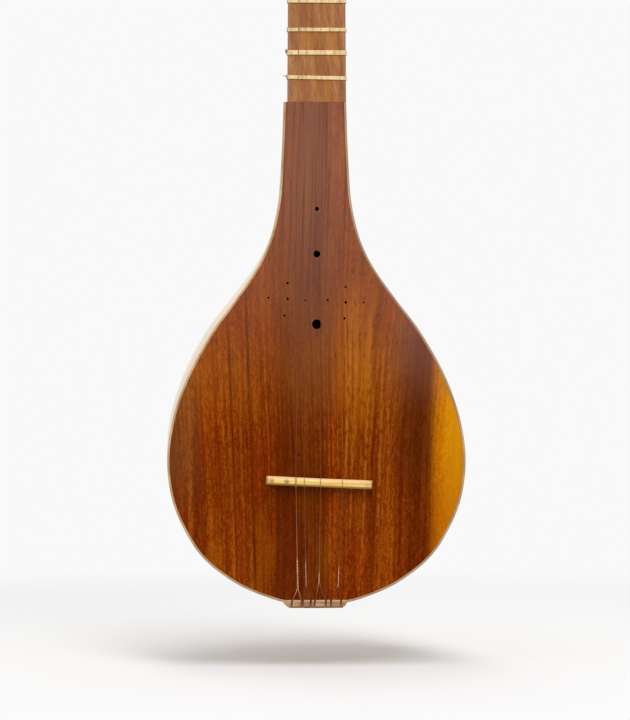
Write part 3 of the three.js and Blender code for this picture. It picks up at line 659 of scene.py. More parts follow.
def board_wood():
    """The oiled heartwood: long streaks, dark late-wood lines, flecks and pores, a darker strip
    down the middle, a few stray streaks, and the wedge of amber sapwood with its dark border.
    Painted reflection lies over it as a grey veil towards the throat, above the middle strip and at
    both edges, and painted shade darkens the amber towards the bottom."""
    material = new_finish("soundboard_wood", 0.28, specular=0.03)
    place = place_on(material)
    across, depth, along = split(place)
    sway = (mottle(place, 9, 4.5, detail=1.0, seed=2.0) - 0.5) * (18 * mm)
    fan = fade(across, 18 * mm, 34 * mm, 0.0, -0.085) * calc("MAXIMUM", along - 80 * mm, 0.0)
    grain = combined(across + sway + fan, depth, along)
    x, z = across / mm, along / mm

    bands = mottle(grain, 60, 2.2, detail=3.0, rough=0.6, seed=1.3)
    streaks = mottle(grain, 520, 6, seed=5.1)
    flecks = mottle(grain, 950, 300, rough=0.6, seed=7.7)
    dust = mottle(grain, 1500, 800, detail=1.0, seed=3.9)
    patches = mottle(grain, 26, 12, seed=14.6)
    tint = mottle(grain, 70, 30, seed=21.7)
    late = ramp(mottle(grain, 420, 7, detail=1.0, seed=11.3), (0.33, 1.0), (0.42, 0.0))
    threads = ramp(mottle(grain, 640, 9, seed=31.2), (0.42, 1.0), (0.54, 0.0))
    pores = ramp(mottle(grain, 1100, 170, seed=4.2), (0.6, 0.0), (0.68, 1.0))
    rings = made(grain.tree, "TexWave", {
        "Vector": made(grain.tree, "Mapping", {"Vector": grain, "Scale": (1, 1, 0.12)}),
        "Scale": 132.0, "Distortion": 4.0, "Detail": 2.0, "Detail Scale": 0.7,
    }, "Fac")
    ring_lines = ramp(rings, (0.55, 0.0), (0.95, 1.0)) * soft(patches, 0.42, 0.6)
    ring_lines = ring_lines * soft(flecks, 0.3, 0.6)
    tone = bands * 0.26 + streaks * 0.27 + flecks * 0.23 + dust * 0.24
    golden = window(x, 12, 31, 5) * window(z, 108, 166, 16) * soft(streaks, 0.38, 0.62, 0.12, 0.62)
    browns = (0.4, (90, 24, 0)), (0.47, (112, 40, 0)), (0.53, (131, 53, 0)), (0.6, (152, 76, 8))
    heart = stained(
        ramp(tone, *browns),
        # Patches a little more golden or redder
        (soft(tint, 0.52, 0.66, 0.0, 0.25), (150, 84, 0)),
        (soft(tint, 0.48, 0.34, 0.0, 0.25), (128, 30, 0)),
        # Growth rings that come and go, pale, and the late wood, dark
        (ring_lines * 0.42, (166, 92, 20)),
        (late * 0.4, (80, 22, 0)),
        # More golden above the bridge, redder below it
        (soft(z, 85, 140) * soft(patches, 0.3, 0.65, 0.12, 0.32), (168, 92, 8)),
        (window(z, 48, 92, 22) * 0.22, (92, 26, 0)),
        # The darker strip along the middle, and above it a grey veil of painted reflection
        (window(x, -23, 4, 4) * soft(z, 140, 70, 0.3, 0.46), (70, 25, 2)),
        (window(x, -14, 11, 3) * soft(z, 80, 150) * 0.34, (104, 64, 42)),
        # The golden patch right of the sound hole, and the smoked one beyond it
        (golden, (172, 98, 8)),
        (window(x, 40, 64, 5) * window(z, 72, 152, 16) * 0.4, (78, 36, 8)),
    )
    worn = soft(flecks, 0.36, 0.56, 0.3, 1.0) * 0.8
    for rows, stain in ((dark_streaks, (62, 16, 0)), (pale_streaks, (178, 106, 30))):
        for upper_x, lower_x, half, low, high, strength in rows:
            slope = (upper_x - lower_x) / (upper_mark - lower_mark)
            off = x - (z * slope + (lower_x - lower_mark * slope))
            line = window(off, -half, half, 0.7) * window(z, low, high, 14)
            heart = blend(line * worn * strength, heart, stain)

    # How far a place lies to the right of the heartwood's wandering edge
    past = x - (z * 0.022 + 60.9) + (mottle(place, 14, 14) - 0.5) * 4.0
    heart = blend(window(past, -15, 0, 7) * 0.8, heart, (190, 176, 200), "MULTIPLY")
    heart = blend(pores * 0.4, heart, (64, 20, 2))
    sap = stained(
        ramp(tone, (0.42, (168, 90, 0)), (0.5, (184, 106, 0)), (0.58, (200, 128, 4))),
        (soft(past, 2, 13, 0.0, 0.6), (210, 144, 8)),
        # The amber darker towards the bottom: painted shade where the light falls off
        (soft(z, 110, 30, 0.0, 0.55), (156, 72, 0)),
        (pores * 0.12, (120, 60, 4)),
    )
    shade = stained(
        blend(soft(past, -3.4, 4.2) * soft(z, 152, 136), heart, sap),
        # Towards the throat and the two edges a grey veil of painted reflection lies over the
        # board, with fine dark threads of grain at the throat
        (soft(z, 100, 240, 0.0, 0.28), (158, 120, 106)),
        (threads * soft(z, 130, 215, 0.0, 0.5), (92, 50, 42)),
        (soft(x, -56, -74) * window(z, 62, 140, 22) * 0.3, (116, 84, 44)),
        (soft(x, 26, 58) * soft(z, 100, 150) * 0.3, (136, 96, 86)),
    )
    return painted(material, shade, flecks * 0.4 - pores, 0.05 * mm, 0.5)


inner_rim = [rim_place(share, edge_strip_width + soundboard_joint) for share in rim_shares]
right_side = [(tail_half_width, board_bottom)]
right_side += [(x, z) for x, z in inner_rim if z > board_bottom + 0.5 * mm and x > tail_half_width]
right_side += [(x, z) for x, z in inner_rim if z > 100 * mm and x <= tail_half_width]
right_side[-1] = (right_side[-1][0], board_length)
board_outline = right_side + [(-x, z) for x, z in reversed(right_side)]
board_outline = [(x + throat_lean(z), z) for x, z in board_outline]
drills = [(0, share * board_length, radius) for share, radius in sound_holes]
wander = iter(pin_wander)
for across, along in pin_crosses:
    for right, up in ((0, 0), (-1, 0), (1, 0), (0, -1), (0, 1)):
        off_x, off_z, radius = next(wander)
        x = across * bowl_half_width + right * pin_arm_across + off_x * mm
        drills.append((x, along * board_length + up * pin_arm_along + off_z * mm, radius * mm))
board_middle = (board_front + board_back) / 2
drill_tools = [bored((x, board_middle, z), 2 * radius, 10 * mm) for x, z, radius in drills]
board_plate = upright_plate(board_outline, board_front, board_back)
cut_piece("drilled_soundboard", "soundboard", "soundboard_wood", [board_plate], drill_tools,
          board_wood(), 0.15 * mm, sides=32)


# Tailpiece
# A bar of pale hardwood glued across the end of the bowl, with a plate over the staves' ends.
# Seven slots sawn by hand, none quite straight, make the teeth that the strings loop round.
tail_taper = 0.7 * mm
tail_plate = 2.6 * mm
slot_depth = 2.4 * mm
slot_recess = 1 * mm
slot_middle = 2 * mm
# Each slot's place as a share of the half width, its width in millimetres and its lean in degrees
tail_slots = [
    (-0.82, 1.0, 11), (-0.49, 1.6, 2), (-0.2, 1.0, 6), (-0.06, 1.0, 9), (0.3, 1.0, 3),
    (0.475, 1.0, 1), (0.81, 1.0, 0),
]
bar_front = board_front - 1 * mm
bar_low_half = tail_half_width - tail_taper


def tail_wood():
    """Pale olive hardwood, darker in the saw cuts and in a patch left of the middle, with a painted
    highlight along its top edge and painted shade at its lower edge.
    """
    material = new_finish("tailpiece_wood", 0.5, specular=0.35)
    x, y, z = split(place_on(material))
    tones = (132, 98, 60), (158, 124, 84), (184, 150, 108)
    tone, height = timber(combined(z, y, x), *tones, (400, 30), (1800, 120), (2400, 400))
    # A darker patch low on the front face, left of the middle
    darker_patch = fade(x, -11 * mm, -9 * mm, 0.0, 0.45) * fade(x, -2 * mm, -0.5 * mm, 1.0, 0.0)
    tone = stained(
        tone,
        # A painted highlight along the top edge, lit from above
        (fade(z, 3.2 * mm, 4.1 * mm, 0.0, 0.7), (214, 164, 124)),
        (darker_patch * fade(z, 3 * mm, 3.8 * mm, 1.0, 0.2), (104, 70, 40)),
        # Painted shade along the lower edge, where a contact shadow falls
        (fade(z, 0.2 * mm, 1.0 * mm, 0.8, 0.0), (104, 66, 44)),
        (fade(y, bar_front + 0.25 * mm, bar_front + 0.6 * mm, 0.0, 0.7), (186, 112, 78)),
    )
    return painted(material, tone, height, 0.06 * mm, 0.6)


def sawn(place, size, lean=0):
    """A saw's block, leaning to the right by an angle."""
    return 1, place, size, (0, lean, 0)


def ring_at(outline, z):
    """An outline in X and Y laid at a height."""
    return [(x, y, z) for x, y in outline]


bar = upright_plate([
    (-bar_low_half, 0.4 * mm), (-6 * mm, 0), (8 * mm, 0), (12.5 * mm, 0.3 * mm),
    (15 * mm, 1.2 * mm), (15.8 * mm, 2.4 * mm), (tail_half_width, tail_bar_height),
    (-tail_half_width, tail_bar_height),
], bar_front, board_back)
ear = upright_plate([
    (-bar_low_half + 0.5 * mm, 0.4 * mm), (-tail_half_width + 1 * mm, tail_bar_height),
    (-tail_half_width, tail_bar_height), (-tail_half_width - 2.2 * mm, 3.3 * mm),
    (-bar_low_half, 0.4 * mm),
], bar_front, board_front - soundboard_joint)
end_depth = bowl_shares[0][2] * bowl_depth
plate_half = bar_low_half - 1 * mm
plate_outline = [(plate_half, board_back - 0.3 * mm)]
for angle in np.linspace(pi / 2, -pi / 2, 33):
    plate_outline.append((plate_half * sin(angle), rim_front + end_depth * cos(angle)))
plate_outline.append((-plate_half, board_back - 0.3 * mm))
end_plate = lofted([ring_at(plate_outline, z) for z in (0, tail_plate)])
saws = [sawn((0, bar_front, 0), (80 * mm, 2 * slot_depth, 2 * slot_recess))]
for share, width, lean in tail_slots:
    lean = radians(lean)
    x = share * tail_half_width - (tail_bar_height - slot_middle) * tan(lean)
    saws.append(sawn((x, bar_front, slot_middle), (width * mm, 2 * slot_depth, 14 * mm), lean))
cut_piece("toothed_tailpiece", "tailpiece", "tailpiece_wood", [bar, ear, end_plate], saws,
          tail_wood(), 0.12 * mm)


# Neck and head
# One length of walnut, planed flat in front and rounded behind. It runs into the bowl's block by
# a tenon and ends in a plain head, drilled for four pegs. The front corners are rounded over.
neck_half_widths = (15.7 * mm, 12.75 * mm)
neck_thicknesses = (24.5 * mm, 20 * mm)
neck_swell = bowl_shares[-1][3]
neck_corner = 0.9 * mm
neck_back_points = 48
section_points = 96
nut_thickness = 3 * mm
nut_seat = 1.5 * mm
nut_z = (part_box("nut")[0].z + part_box("nut")[1].z) / 2
nut_back = nut_z + nut_thickness / 2
neck_bottom = board_length + 0.08 * mm
head_length = 104 * mm
head_front = board_front + 2 * mm
head_thickness = 21 * mm
head_chamfer = 3 * mm
head_rounding = 6 * mm
head_blend = 8 * mm
head_end = 3 * mm
head_top = nut_z + head_length
neck_taper = (neck_half_widths[1] - neck_half_widths[0]) / (nut_z - board_length)
tenon_width, tenon_thickness, tenon_length = 16 * mm, 14 * mm, 11 * mm
blend_rings, end_rings = 8, 6
peg_shaft_radius = 3.3 * mm
peg_bore = 2 * (peg_shaft_radius + 0.1 * mm)
side_peg_depth = head_front + 10.5 * mm
front_peg_x = 2 * mm
peg_places = {
    "bass": ("side", 0.394), "drone": ("side", 0.808),
    "middle": ("front", 0.192), "treble": ("front", 0.596),
}


def evened(path, count):
    """A path of points spaced evenly along its length."""
    path = np.array(path, float)
    runs = np.concatenate([[0], np.cumsum(np.linalg.norm(np.diff(path, axis=0), axis=1))])
    marks = np.linspace(0, runs[-1], count)
    return np.stack([np.interp(marks, runs, path[:, i]) for i in range(path.shape[1])], axis=1)


def rounded(corners, radius, steps=6):
    """A path with its inner corners rounded."""
    corners = [np.array(corner, float) for corner in corners]
    path = [corners[0]]
    for before, corner, after in zip(corners, corners[1:], corners[2:]):
        ways = before - corner, after - corner
        reach = min(radius, *(np.linalg.norm(way) * 0.49 for way in ways))
        start, end = (corner + way / np.linalg.norm(way) * reach for way in ways)
        for t in np.arange(steps + 1) / steps:
            path.append((1 - t) ** 2 * start + 2 * t * (1 - t) * corner + t**2 * end)
    return path + [corners[-1]]


def neck_outline(z, out=0.0):
    """The neck's section at a height, from the middle of its front round by the left."""
    share = (z - board_length) / (nut_z - board_length)
    half, thick = (low + share * (high - low) for low, high in (neck_half_widths, neck_thicknesses))
    section = [(0, board_front)]
    for angle in np.linspace(-pi / 2, pi / 2, neck_back_points + 1):
        x = half * (sin(angle) + neck_swell * sin(2 * angle))
        section.append((x, board_front + thick * cos(angle)))
    section = evened(rounded(section + section[:1], neck_corner, 4), section_points + 1)[:-1]
    along = np.roll(section, -1, axis=0) - np.roll(section, 1, axis=0)
    outwards = np.stack([-along[:, 1], along[:, 0]], axis=1)
    return section + out * outwards / np.linalg.norm(along, axis=1)[:, None]


def head_outline(inset):
    """The head's section, with broad rounded corners."""
    half = neck_half_widths[1] - inset
    front, back = head_front + inset, head_front + head_thickness - inset
    shoulder = head_rounding / 3
    left = [(-half + head_chamfer, front), (-half, front + head_chamfer),
            (-half, back - head_rounding), (-half + shoulder, back - shoulder)]
    right = [(-x, y) for x, y in reversed(left)]
    corners = [(0, front), *left, (0, back), *right, (0, front)]
    return evened(rounded(corners, 4 * mm), section_points + 1)[:-1]


def neck_wood():
    """Walnut rubbed with oil: short leaning figure, golden and reddish patches, and painted shade,
    greyer, along the rounded corners.
    """
    material = new_finish("neck_wood", 0.42, specular=0.1)
    across, depth, along = split(place_on(material))
    leaning = combined(across + along * 0.13, depth, along)
    tones = (126, 78, 44), (153, 101, 60), (172, 122, 78)
    tone, height = timber(leaning, *tones, (260, 50), (800, 140), (1500, 300), seed=6.0)
    patches = mottle(leaning, 150, 60, seed=17.0)
    half = along * neck_taper + (neck_half_widths[0] - neck_taper * board_length)
    inside = calc("MAXIMUM", half, neck_half_widths[1]) - calc("ABSOLUTE", across)
    tone = stained(
        tone,
        (ramp(patches, (0.52, 0.0), (0.64, 0.4)), (166, 108, 42)),
        (ramp(patches, (0.36, 0.4), (0.48, 0.0)), (146, 82, 52)),
        # Painted shade along the rounded corners, where they turn away from the light, greyer
        (fade(inside, 0.5 * mm, 1.6 * mm, 0.55, 0.0), (148, 118, 100)),
    )
    return painted(material, tone, height, 0.05 * mm, 0.6)


rings = [ring_at(neck_outline(z), z) for z in np.linspace(neck_bottom, nut_back, 24)]
for share in np.arange(1, blend_rings + 1) / blend_rings:
    eased = share * share * (3 - 2 * share)
    mixed = neck_outline(nut_back) * (1 - eased) + head_outline(0) * eased
    rings.append(ring_at(mixed, nut_back + share * head_blend))
for z in np.linspace(nut_back + head_blend, head_top - head_end, 6)[1:]:
    rings.append(ring_at(head_outline(0), z))
for angle in np.arange(1, end_rings + 1) * pi / (2 * end_rings):
    inset, drop = head_end * (1 - cos(angle)), head_end * (1 - sin(angle))
    rings.append(ring_at(head_outline(inset), head_top - drop))
tenon_front = board_front + (neck_thicknesses[0] - tenon_thickness) / 2
tenon = lofted([
    ring_at([(right * tenon_width / 2, tenon_front + deep * tenon_thickness)
             for right, deep in ((-1, 0), (1, 0), (1, 1), (-1, 1))], z)
    for z in (board_length - tenon_length, board_length + 2 * mm)
])
neck_tools = [sawn((0, board_front, nut_z), (60 * mm, 2 * nut_seat, nut_thickness + 0.1 * mm))]
for side, share in peg_places.values():
    z = nut_z + share * head_length
    if side == "side":
        neck_tools.append(bored((0, side_peg_depth, z), peg_bore, 60 * mm, (0, pi / 2, 0)))
    else:
        neck_tools.append(bored((front_peg_x, 0, z), peg_bore, 60 * mm))
cut_piece("carved_neck", "neck", "neck_wood", [lofted(rings), tenon], neck_tools, neck_wood(),
          0.1 * mm, sides=40)


# Nut
# A slip of polished bone let into the neck, with a notch for each string.
string_gauges = {"bass": 0.4 * mm, "drone": 0.18 * mm, "middle": 0.22 * mm, "treble": 0.2 * mm}
nut_shares = {"bass": -0.58, "drone": -0.28, "middle": 0.206, "treble": 0.745}
nut_string_height = 1.4 * mm
nut_height = 1.9 * mm
nut_half = neck_half_widths[1] - 0.2 * mm
nut_notch_play = 0.1 * mm


def nut_bone():
    """Bone: ivory white, faintly clouded, with fine brown canals."""
    material = new_finish("nut_bone", 0.28, sheen=0.2)
    x, y, z = split(place_on(material))
    tones = (214, 196, 158), (233, 221, 190), (243, 235, 212)
    tone, height = timber(combined(z, y, x), *tones, (300, 40), (1500, 200), (2600, 500))
    return painted(material, tone, height, 0.02 * mm, 0.4)


def stood(corners, z):
    """An outline seen along the strings, places across and heights off the board, at a height."""
    return [(x, board_front - height, z) for x, height in corners]


def string_on_nut(name):
    """Where a string lies in its notch in the nut."""
    return Vector((nut_shares[name] * neck_half_widths[1], board_front - nut_string_height, nut_z))


nut_corners = [
    (-nut_half, 0.05 * mm - nut_seat), (nut_half, 0.05 * mm - nut_seat),
    (nut_half, nut_height - 0.6 * mm), (nut_half * 0.9, nut_height),
    (-nut_half * 0.9, nut_height), (-nut_half, nut_height - 0.6 * mm),
]
nut_solid = lofted([stood(nut_corners, nut_z - nut_thickness / 2), stood(nut_corners, nut_back)])
nut_tools = []
for name, gauge in string_gauges.items():
    place = string_on_nut(name) - Vector((0, gauge / 2 + 1 * mm, 0))
    notch = gauge + nut_notch_play
    nut_tools.append(sawn(place, (notch, 2 * mm + notch, 9 * mm)))
cut_piece("notched_nut", "nut", "nut_bone", [nut_solid], nut_tools, nut_bone(), 0.12 * mm)


# Frets
# Each fret is a length of gut wound four times round the neck, side by side across the front,
# and tied in a small knot at the left. It is only tight, so it can be slid to tune its note.
fret_cents = [90, 140, 204, 294, 345, 408, 498, 565, 612, 702, 792, 843, 906, 996, 1047, 1110, 1200,
              1290, 1340, 1404, 1494, 1545, 1602, 1708, 1798, 1902]
string_length = 650 * mm
gut_thread = 0.5 * mm
gut_pitch = 0.47 * mm
gut_clearance = 0.11 * mm
gut_steps = 48
thread_sides = 8
gut_usual_turns = 4
gut_turns = {25: 5}
fret_tilts = {24: 0.3, 25: 0.0, 26: -0.9}
knot_sizes = {25: 0.95 * mm, 26: 0.5 * mm}
cut_ends = {25: 0.9 * mm, 26: 2.0 * mm}


def round_section(given):
    """The round section of a thread or wire."""
    return made(given["Sides"].tree, "CurvePrimitiveCircle", {
        "Resolution": given["Sides"], "Radius": given["Thickness"] * 0.5,
    })


def winding_tree():
    """Thread wound round a flat ring: level for a first share of each turn, then it steps on."""
    tree, given = new_tree("wound_thread", {
        "Turns": "Float", "Steps": "Int", "Pitch": "Float", "Level Share": "Float",
        "Thickness": "Float", "Sides": "Int", "Tilt": "Vector", "Turn": "Vector", "Place": "Vector",
        "Tied": "Bool", "Knot": "Float", "Tail End": "Vector", "Finish": "Material",
    })

    def place_along(curve, share):
        feeds = {"Curves": curve, "Factor": share}
        return made(tree, "SampleCurve", feeds, "Position", mode="FACTOR")

    ring = made(tree, "MeshToCurve", {"Mesh": given["Geometry"]})
    line = made(tree, "MeshLine", {"Count": given["Turns"] * given["Steps"] + 1.0})
    thread = made(tree, "MeshToCurve", {"Mesh": line})
    turn = made(tree, "InputIndex") / given["Steps"]
    climb = (calc("FRACT", turn + 0.0001) - given["Level Share"]) / (1.0 - given["Level Share"])
    level = calc("FLOOR", turn + 0.0001) + calc("MAXIMUM", climb, 0.0)
    height = (level - (given["Turns"] - 1.0) * 0.5) * given["Pitch"]
    wound = made(tree, "SetPosition", {
        "Geometry": thread,
        "Position": place_along(ring, calc("FRACT", turn)) + combined(0.0, 0.0, height),
    })
    marked = stored(wound, "run", made(tree, "SplineParameter", out="Length"))
    section = round_section(given)
    solid = swept(marked, section)
    # The knot and its cut end, which lie where the thread starts, at the upper turn
    upper = (given["Turns"] - 1.5) * given["Pitch"]
    start = place_along(marked, 0.0) + combined(0.0, 0.0, upper)
    knot = made(tree, "Transform", {
        "Geometry": made(tree, "MeshIcoSphere", {"Radius": given["Knot"], "Subdivisions": 3}),
        "Translation": start + combined(given["Knot"] * -0.5, 0.2 * mm, 0.0),
        "Scale": (0.75, 1.0, 1.25),
    })
    end_line = made(tree, "CurvePrimitiveLine", {
        "Start": start, "End": start + given["Tail End"],
    })
    pointed = made(tree, "SetCurveRadius", {
        "Curve": made(tree, "ResampleCurve", {"Curve": end_line, "Count": 6}),
        "Radius": 1.8 - made(tree, "SplineParameter", out="Factor") * 1.4,
    })
    whole = joined(solid, knot, swept(pointed, section))
    choice = {"Switch": given["Tied"], "False": solid, "True": whole}
    tied = made(tree, "Switch", choice, input_type="GEOMETRY")
    tilted = made(tree, "Transform", {"Geometry": tied, "Rotation": given["Tilt"]})
    return ended(tree, made(tree, "Transform", {
        "Geometry": tilted, "Rotation": given["Turn"], "Translation": given["Place"],
    }), given["Finish"])


def fret_gut():
    """Waxed gut: pale straw, with darker spots, and grey with handling at the knot."""
    material = new_finish("fret_gut", 0.4, sheen=0.05, specular=0.3)
    blots = mottle(place_on(material), 330, 110, detail=3.0, seed=3.3)
    tone = ramp(blots, (0.32, (200, 166, 120)), (0.44, (222, 194, 142)), (0.66, (234, 210, 160)))
    knotted = fade(kept(material, "run"), 0.1 * mm, 0.5 * mm, 0.85, 0.0)
    return painted(material, blend(knotted, tone, (96, 84, 68)), blots, 0.03 * mm, 0.4)


gut = fret_gut()
wound_thread = winding_tree()
for number, cents in enumerate(fret_cents, 1):
    z = nut_z - string_length * (1 - 2 ** (-cents / 1200))
    outline = neck_outline(z, out=gut_thread / 2 + gut_clearance)
    # The thread starts at the front's left corner and runs across the front first
    across, depth = outline.T
    off_corner = np.abs(across + across.max()) + np.abs(depth - board_front) * 2
    outline = np.roll(outline[::-1], int(np.argmin(off_corner)) + 1, axis=0)
    ring = line_mesh(f"fret_{number}", ring_at(outline, 0), closed=True)
    fret = grown(f"tied_fret_{number}", ring, wound_thread, {
        "Turns": float(gut_turns.get(number, gut_usual_turns)), "Steps": gut_steps,
        "Pitch": gut_pitch, "Level Share": 0.42, "Thickness": gut_thread, "Sides": thread_sides,
        "Tilt": (0, radians(-fret_tilts.get(number, 0)), 0),
        "Place": (0, 0, z), "Tied": True, "Knot": knot_sizes.get(number, 0.4 * mm),
        "Tail End": (-cut_ends.get(number, 0.5 * mm), 0.1 * mm, 0.25 * mm), "Finish": gut,
    })
    settle(fret, "fret_gut", f"fret_{number}", body=f"fret_{number}")


# Bridge
# A low bar of pale boxwood that stands loose on the soundboard under the strings' pressure, a
# little askew. Its middle is cut away in an arch, and its thin top has a notch for each string.
bridge_half = 28.5 * mm
bridge_top_half = 27.5 * mm
bridge_height = 6 * mm
bridge_thickness = 4.6 * mm
bridge_top_thickness = 2.4 * mm
bridge_shoulder = 3.4 * mm
arch_half, arch_height = 0.62 * bridge_half, 2.6 * mm
foot = 0.03 * mm
bridge_x = 1.35 * mm
bridge_z = (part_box("bridge")[0].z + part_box("bridge")[1].z) / 2
bridge_skew = radians(2.7)
bridge_slope = tan(bridge_skew)
bridge_string_height = 5.7 * mm
bridge_notch_drop = 0.32 * mm
bridge_notch_play = 0.28 * mm
bridge_shares = {"bass": -0.45, "drone": -0.292, "middle": 0.01, "treble": 0.42}


def bridge_wood():
    """Boxwood, pale yellow and dense, with small brown blemishes, a painted highlight on its upper
    side and painted shade, deeper in tone, on its low side.
    """
    material = new_finish("bridge_wood", 0.42, sheen=0.05, specular=0.25)
    place = place_on(material)
    x, y, z = split(place)
    tones = (200, 160, 82), (226, 190, 104), (238, 212, 138)
    tone, height = timber(combined(z, y, x), *tones, (500, 25), (2000, 90), (3000, 500))
    for right, reach, strength in (
        (-24.4 * mm, 1.5 * mm, 0.7), (-16.4 * mm, 1.5 * mm, 0.75), (26.4 * mm, 1.2 * mm, 0.35),
    ):
        centre = (right, board_front - bridge_height, bridge_z - right * bridge_slope)
        away = calc("LENGTH", (place - centre) * (1.0, 0.2, 0.8))
        tone = blend(fade(away, 0.3 * reach, 1.3 * reach, strength, 0.0), tone, (146, 92, 50))
    above = x * bridge_slope + z - bridge_z
    tone = stained(
        tone,
        # Painted shade on the low side, towards the tail, and a painted highlight on the upper side
        (fade(above, -0.7 * mm, -2.3 * mm, 0.0, 0.85), (178, 132, 48)),
        (fade(above, 0.6 * mm, 1.6 * mm, 0.0, 0.6), (238, 196, 154)),
        (fade(x, 26.5 * mm, 30 * mm, 0.0, 0.5), (160, 112, 74)),
    )
    return painted(material, tone, height, 0.04 * mm, 0.5)


def bridge_outline(top):
    """The bridge seen along the strings, cut off at a height: its end, its top and its arch."""
    end = [(bridge_half, foot), (bridge_top_half + 0.6 * mm, top * 0.6),
           (bridge_top_half, top - 0.2 * mm), (bridge_top_half - 0.4 * mm, top)]
    angles = np.linspace(pi - 0.12, 0.12, 25)
    arch = [(arch_half * cos(a), arch_height * sin(a)) for a in angles]
    feet = [(-arch_half - 0.4 * mm, foot), *arch, (arch_half + 0.4 * mm, foot)]
    return end + [(-x, height) for x, height in reversed(end)] + feet


def string_on_bridge(name):
    """Where a string lies on the bridge's top."""
    x = bridge_x + bridge_shares[name] * bridge_half
    return Vector((x, board_front - bridge_string_height, bridge_z - (x - bridge_x) * bridge_slope))


skew = Matrix.Translation((bridge_x, 0, bridge_z)) @ Matrix.Rotation(bridge_skew, 4, "Y")
bridge_points, bridge_faces = lofted([
    stood(bridge_outline(top), thick / 2)
    for thick, top in ((-bridge_thickness, bridge_shoulder), (-bridge_top_thickness, bridge_height),
                       (bridge_top_thickness, bridge_height), (bridge_thickness, bridge_shoulder))
])
bridge_points = [tuple(skew @ Vector(point)) for point in bridge_points]
bridge_tools = []
for name, gauge in string_gauges.items():
    place = string_on_bridge(name) + Vector((0, gauge / 2 + bridge_notch_drop - 1 * mm, 0))
    bridge_tools.append(sawn(place, (gauge + bridge_notch_play, 2 * mm, 12 * mm)))
cut_piece("notched_bridge", "bridge", "bridge_wood", [(bridge_points, bridge_faces)], bridge_tools,
          bridge_wood(), 0.25 * mm, body="bridge")


# Pegs
# Turned friction pegs of dark rosewood in the head: two from the left side for the bass and the
# drone, two from the front. Each has a round shaft, a bead and a swelling knob with a button.
knob_radius = 9.6 * mm
knob_length = 25 * mm
knob_stand_off = 9 * mm
peg_inset = 1 * mm
knob_shares = [(0.5, 0.01), (0.56, 0.06), (0.4, 0.11), (0.38, 0.2), (0.62, 0.42), (0.96, 0.6),
               (1, 0.7), (0.88, 0.8), (0.5, 0.86), (0.22, 0.88), (0.26, 0.94), (0.0, 1.0)]
peg_round = 48
peg_sharp_angle = radians(40)
knob_steps = 60


def peg_face(name):
    """Where a peg's axis leaves the head, which way it points and how deep its hole is."""
    side, share = peg_places[name]
    z, half = nut_z + share * head_length, neck_half_widths[1]
    if side == "side":
        return Vector((-half, side_peg_depth, z)), Vector((-1, 0, 0)), 2 * half
    return Vector((front_peg_x, head_front, z)), Vector((0, -1, 0)), head_thickness


def peg_wood():
    """Rosewood turned and polished, with its grain along the peg."""
    material = new_finish("peg_wood", 0.3, sheen=0.5)
    grain = kept(material, "grain", "Vector")
    tones = (44, 22, 12), (76, 42, 24), (110, 66, 38)
    tone, height = timber(grain, *tones, (300, 30), (1500, 90), (2200, 300), seed=2.2)
    return painted(material, tone, height, 0.03 * mm, 0.5)


def turned_mesh(name, profile, face, axis):
    """A solid turned on a lathe, laid along its axis, with its grain kept as on the lathe."""
    shape = bmesh.new()
    grain = shape.verts.layers.float_vector.new("grain")
    rings = []
    for radius, out in profile:
        angles = np.linspace(0, 2 * pi, peg_round if radius else 1, endpoint=False)
        ring = [(radius * cos(a), radius * sin(a), out) for a in angles]
        rings.append([shape.verts.new(place) for place in ring])
    for low, high in zip(rings, rings[1:]):
        for i in range(peg_round):
            ends = i, (i + 1) % peg_round
            corners = [low[j % len(low)] for j in ends]
            corners += [high[j % len(high)] for j in reversed(ends)]
            shape.faces.new(dict.fromkeys(corners))
    for corner in shape.verts:
        corner[grain] = corner.co
    place = Vector((0, 0, 1)).rotation_difference(axis).to_matrix().to_4x4()
    shape.transform(Matrix.Translation(face) @ place)
    bmesh.ops.recalc_face_normals(shape, faces=shape.faces)
    mesh = bpy.data.meshes.new(name)
    shape.to_mesh(mesh)
    shape.free()
    mesh.polygons.foreach_set("use_smooth", [True] * len(mesh.polygons))
    mesh.set_sharp_from_angle(angle=peg_sharp_angle)
    return mesh


rosewood = peg_wood()
knob_pins = [
    (radius * knob_radius, knob_stand_off + share * knob_length) for radius, share in knob_shares
]
knob = [batten(knob_pins, step / knob_steps) for step in range(knob_steps)]
for name in peg_places:
    face, axis, depth = peg_face(name)
    end = peg_inset - depth
    profile = [
        (0.0, end), (peg_shaft_radius - 0.5 * mm, end), (peg_shaft_radius, end + 0.5 * mm),
        (peg_shaft_radius, knob_stand_off - 0.2 * mm), *knob, (0.0, knob_stand_off + knob_length),
    ]
    mesh = turned_mesh(f"peg_{name}", profile, face, axis)
    mesh.materials.append(rosewood)
    settle(placed(f"turned_peg_{name}", mesh), "peg_wood", f"peg_{name}", body=f"peg_{name}")


# Strings
# Four wires: bronze for the bass and the middle string, steel for the other two. Each is looped
# round a tooth of the tailpiece and twisted on itself, then runs over bridge and nut to its peg.
winding_start = 1.2 * mm
winding_turns = 5
turn_steps = 36
winding_gap = 0.45 * mm
edge_share = 0.62
edge_clearance = 0.3 * mm
slot_clearance = 0.1 * mm
shaft_clearance = 0.02 * mm
leg_lift = 0.6 * mm
cuts_per_turn = 12
# The two slots of each string's loop, the ends of the loop and of the twist as shares of the way to
# the bridge, the twist's length a turn in millimetres and its spread in radii, the side of the peg
# that the string runs to, how far the loop's end lies aside in millimetres, and the loop's shine
string_ends = {
    "bass": ((0, 1), 0.159, 0.382, 3.2, 1.15, 1, 0.35, 0.7),
    "drone": ((1, 2), 0.19, 0.373, 0.62, 1.05, 1, -0.45, 0.1),
    "middle": ((3, 4), 0.206, 0.275, 1.6, 2.0, 1, -0.9, 0.75),
    "treble": ((5, 6), 0.19, 0.318, 0.65, 1.05, -1, 1.1, 0.1),
}


